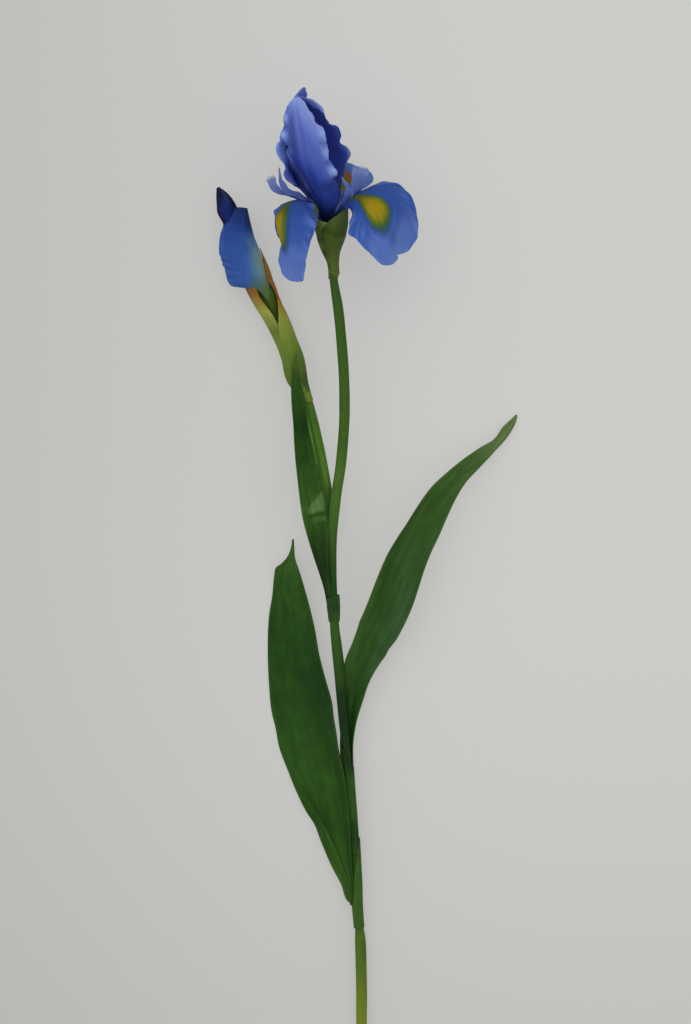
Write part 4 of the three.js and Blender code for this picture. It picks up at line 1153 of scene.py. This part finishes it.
bud_tube_green = new_material("bud_tube_green", bud_tube_pattern, gloss=0.14)
bud_tube_stations = [
    [-58, 195, 16.4, 3], [-64.5, 210, 16, 3.8], [-71, 225, 15.7, 4.8], [-77, 241, 15.3, 6.4],
    [-82.5, 252, 15.3, 5.8], [-86, 261, 15.2, 4.6],
]
stalk("bud_tube_stalk", "bud_tube", bud_tube_green, bud_tube_stations,
      around=60, along=100, ribs=6, depth=0.2, swell=0.08, waves=4)

# ---- rolled petals of the bud ----
# The petals of the bud are still rolled round each other. The outer two bulge over the valves in
# a pouch with soft cross folds, and the dark tips of the inner ones stand out at the top.
bud_low, bud_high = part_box("bud_tube")
bud_place = np.array((bud_low.x, bud_high.y, (bud_low.z + bud_high.z) / 2))
bud_lean = 22
bud = (bud_place / MM + (9.8, -9.4, -0.3), bud_lean)


def bud_marks(colour, across, along, vein, cloud):
    """Painted shade in the folds of the pouch, and the pale teal of its right side that turns green at
    its foot.
    """
    folds = band(along, 0.27, 0.025) + band(along + across * 0.1, 0.37, 0.025)
    folds = folds + band(along + across * 0.06, 0.44, 0.025)
    out = across + (cloud - 0.5) * 0.24
    pale = band(along, 0.38, 0.42)
    foot = rise(along, 0.34, 0.1)
    return paint(colour, (0.66, folds * rise(across, 0.45, 0.1) * 0.8),
                 ((56, 94, 150), rise(out, 0.46, 0.72) * rise(along, 0.8, 0.6)),
                 ((88, 126, 150), rise(out, 0.62, 0.84) * pale),
                 ((122, 142, 118), rise(out, 0.78, 0.96) * pale),
                 ((72, 98, 84), rise(out, 0.44, 0.7) * foot),
                 ((84, 106, 48), rise(out, 0.7, 0.94) * foot),
                 ((22, 46, 78), rise(out, 0.6, 0.9) * rise(along, 0.72, 0.88)),
                 ((10, 28, 80), rise(across, 0.14, 0.03) * rise(along, 0.76, 0.84)))


def tip_marks(colour, across, along, vein, cloud):
    """The rolled tips are nearly black along their edges, with a bluer triangle between them where they
    come out of the bud and a painted dull sheen on the side that faces the light."""
    sheen = band(across, 0.72, 0.22) * rise(along, 0.5, 0.75)
    wide = band(across - 0.1 * along, 0.46, 0.34) * rise(along, 0.82, 0.62)
    return paint(colour, ((28, 48, 78), sheen * (0.4 + cloud)),
                 ((17, 34, 100), wide),
                 ((2, 8, 28), rise(abs(across - 0.5), 0.28, 0.42) * 0.9))


bud_blue = petal_material(
    "bud_blue",
    ((0.0, 52, 86, 148), (0.2, 50, 84, 152), (0.35, 45, 80, 150), (0.55, 41, 75, 146),
     (0.68, 34, 66, 138), (0.78, 26, 56, 122), (0.88, 20, 46, 100), (1.0, 16, 40, 78)),
    (52, 86, 152), (26, 52, 120), 9.0, bud_marks)
bud_navy = petal_material(
    "bud_navy",
    ((0.0, 8, 22, 72), (0.5, 10, 26, 80), (0.75, 6, 20, 60), (1.0, 10, 22, 48)),
    (16, 32, 82), (5, 14, 44), 10.0, tip_marks)


def pouch_relief(u, v):
    folds = 0
    for place, slope, width in ((0.3, 0.06, 0.018), (0.37, 0.05, 0.02), (0.44, 0.03, 0.022)):
        folds = folds + np.exp(-(((v - place + slope * u) / width) ** 2))
    return 0.5 * wander(3 * u, 6 * v, 71) - 0.8 * folds * np.clip(0.2 - u, 0, 1)


def back_relief(u, v):
    return 0.5 * wander(3 * u, 6 * v, 73)


def tip_relief(u, v):
    return 0.5 * np.sin(5 * u + 7 * v) + 0.3 * wander(3 * u, 7 * v, 75)


bud_front_guides = [
    [(-11.5, 2.5, -2), (-19, 0.5, -1), (-24, 3.5, 0), (-25, 8, 0.5), (-24, 14, 0.5),
     (-24, 21.5, 0), (-23, 29.5, -0.5), (-20, 37, -0.5), (-16, 43.5, 0), (-11.5, 48, 1),
     (-4, 53, 4), (2, 56.5, 6)],
    [(-11, -0.5, 0), (-17, -1.5, 5), (-20.5, 2.5, 9), (-19.5, 8.5, 11.5), (-17.5, 17.5, 12),
     (-15, 27.5, 12), (-11, 36, 11.5), (-5.5, 44.5, 10.5), (0.5, 51.5, 8.5), (4, 55.5, 7)],
    [(-7, -3, 2), (-11.5, -5, 6.5), (-12.5, -0.5, 12.5), (-10.5, 7.5, 15), (-8, 19.5, 16),
     (-4.5, 31, 15), (0.5, 43, 11.5), (6, 54.5, 7.5)],
    [(-4, -14.5, 4), (-5.5, -9.5, 9.5), (-4.5, -1, 13.5), (-2.5, 10, 14.5), (-1, 22, 13.5),
     (2, 34.5, 12), (5, 44.5, 10), (8, 53.5, 7)],
    [(-1.5, -27.5, 3), (1.5, -14, 5), (4.6, -1, 5.5), (5.6, 7.5, 5), (6.2, 15.5, 4.5),
     (5.9, 23.5, 3.5), (6.4, 33, 3), (7.6, 42, 4), (9.3, 53, 6)],
]
bud_back_guides = [
    [(3, -3, -7.5), (5.5, 11, -4), (6, 24, -1.5), (6, 36, -1), (6.5, 46, -2), (5.5, 52, -4)],
    [(-4, -3, -7), (-7.5, 5, -11.5), (-9, 13, -14), (-8.5, 24, -13.8), (-7, 36, -11.5),
     (-5, 46, -9), (-3, 53, -7)],
    [(-8.5, -2, -3), (-17, 5, -4.5), (-22, 13, -3), (-22, 24, -2.5), (-18.5, 36, -3),
     (-14, 45, -4), (-11.5, 51, -5)],
]
tip_front_guides = [
    [(-9, 36, 0.8), (-11.3, 48, 0.8), (-13, 59, 1), (-10.4, 66, 1), (-5.8, 76.3, 0.8)],
    [(-6, 36, 3), (-6, 48, 3.8), (-6, 59, 5.2), (-5, 67, 3.6), (-4.8, 76.3, 1.6)],
    [(-1, 36, 0.8), (1, 48, 0.8), (2.2, 58, 1.2), (0.6, 68, 1), (-3.6, 76, 0.8)],
]
tip_back_guides = [
    [(-1, 36, -1), (0.8, 48, -0.8), (1.6, 58, -0.6), (0, 67, -0.5), (-3.8, 74.6, -0.7)],
    [(-5, 36, -4), (-5.5, 48, -4.4), (-5.5, 58, -4.4), (-5, 66, -3), (-4.8, 74.6, -1.4)],
    [(-9, 36, -1), (-11, 48, -0.8), (-12, 58, -0.8), (-10, 66, -0.6), (-5.8, 74.6, -0.7)],
]
petal("bud_petal_front", "_roll", bud, bud_front_guides, pouch_relief, bud_blue, bud_navy)
petal("bud_petal_back", "_roll", bud, bud_back_guides, back_relief, bud_blue, bud_navy)
for node, guides in (("bud_tip_front", tip_front_guides), ("bud_tip_back", tip_back_guides)):
    petal(node, "_roll", bud, guides, tip_relief, bud_navy, bud_navy, across=40, along=60)

# ---- table, camera and light ----
# The cut flower lies on a plain pale table and is looked at from straight above, with the last stretch
# of its stem out of view. The light is a soft studio light from the upper left with a weaker one from
# the right, so that the petals keep their shape and the table stays even. The table's colour is painted
# darker towards its left and lower side as painted light falloff, and the table glows faintly, a
# painted light that keeps the shadows on it pale.
table_side = 8
camera_height = 1.857
camera_right, camera_up = -0.0167, 0.0754
lens_length, film_width = 85, 36
middle = (cad_box[0] + cad_box[1]) / 2


def table_pattern(across, along, place):
    x, y, z = place
    grain = speckle(x * 0.15, y * 0.15, 0.0, 3)
    # Painted light: the table's colour is darker towards its left and its lower side, as the light
    # falls off.
    grey = paint(grade(x, (-700, 132, 133, 130), (160, 207, 208, 204)), (0.9, grain * 0.4))
    return grey * (0.38 - 0.2 * rise(y, 60, -700)), 0.85 + 0.1 * grain, grain * 0.02


bpy.ops.object.select_all(action="DESELECT")
bpy.ops.mesh.primitive_plane_add(size=table_side, location=(0, 0, 0))
table = bpy.context.object
table.name = "table"
table_paint = new_material("table_paint", table_pattern, gloss=0.1)
# Painted light: the table glows faintly so that the shadows on it stay pale.
glow = table_paint.node_tree.nodes["Principled BSDF"].inputs
glow["Emission Color"].default_value = (1, 1, 0.97, 1)
glow["Emission Strength"].default_value = 0.36
table.data.materials.append(table_paint)

view_point = (middle.x + camera_right, middle.y + camera_up, camera_height)
bpy.ops.object.camera_add(location=view_point, rotation=(0, 0, 0))
camera = bpy.context.object
camera.data.lens = lens_length
camera.data.sensor_width = film_width
camera.data.clip_start = 0.1
scene = bpy.context.scene
scene.camera = camera
scene.view_settings.view_transform = "Standard"


def soft_sun(name, azimuth, elevation, strength, softness, colour):
    """A soft lamp far away. Azimuth is from +X towards +Y, softness is its width in degrees."""
    bpy.ops.object.light_add(type="SUN", location=(0, 0, 2))
    lamp = bpy.context.object
    lamp.name = name
    a, e = math.radians(azimuth), math.radians(elevation)
    away = Vector((math.cos(e) * math.cos(a), math.cos(e) * math.sin(a), math.sin(e)))
    lamp.rotation_euler = away.to_track_quat("Z", "Y").to_euler()
    lamp.data.energy = strength
    lamp.data.angle = math.radians(softness)
    lamp.data.color = colour


soft_sun("key_light", azimuth=140, elevation=52, strength=0.9, softness=80, colour=(1, 0.99, 0.97))
soft_sun("fill_light", azimuth=20, elevation=48, strength=0.42, softness=90, colour=(0.97, 0.98, 1))
world = bpy.data.worlds.new("studio")
scene.world = world
world.use_nodes = True
background = world.node_tree.nodes["Background"].inputs
background["Color"].default_value = (0.93, 0.94, 0.95, 1)
background["Strength"].default_value = 0.5
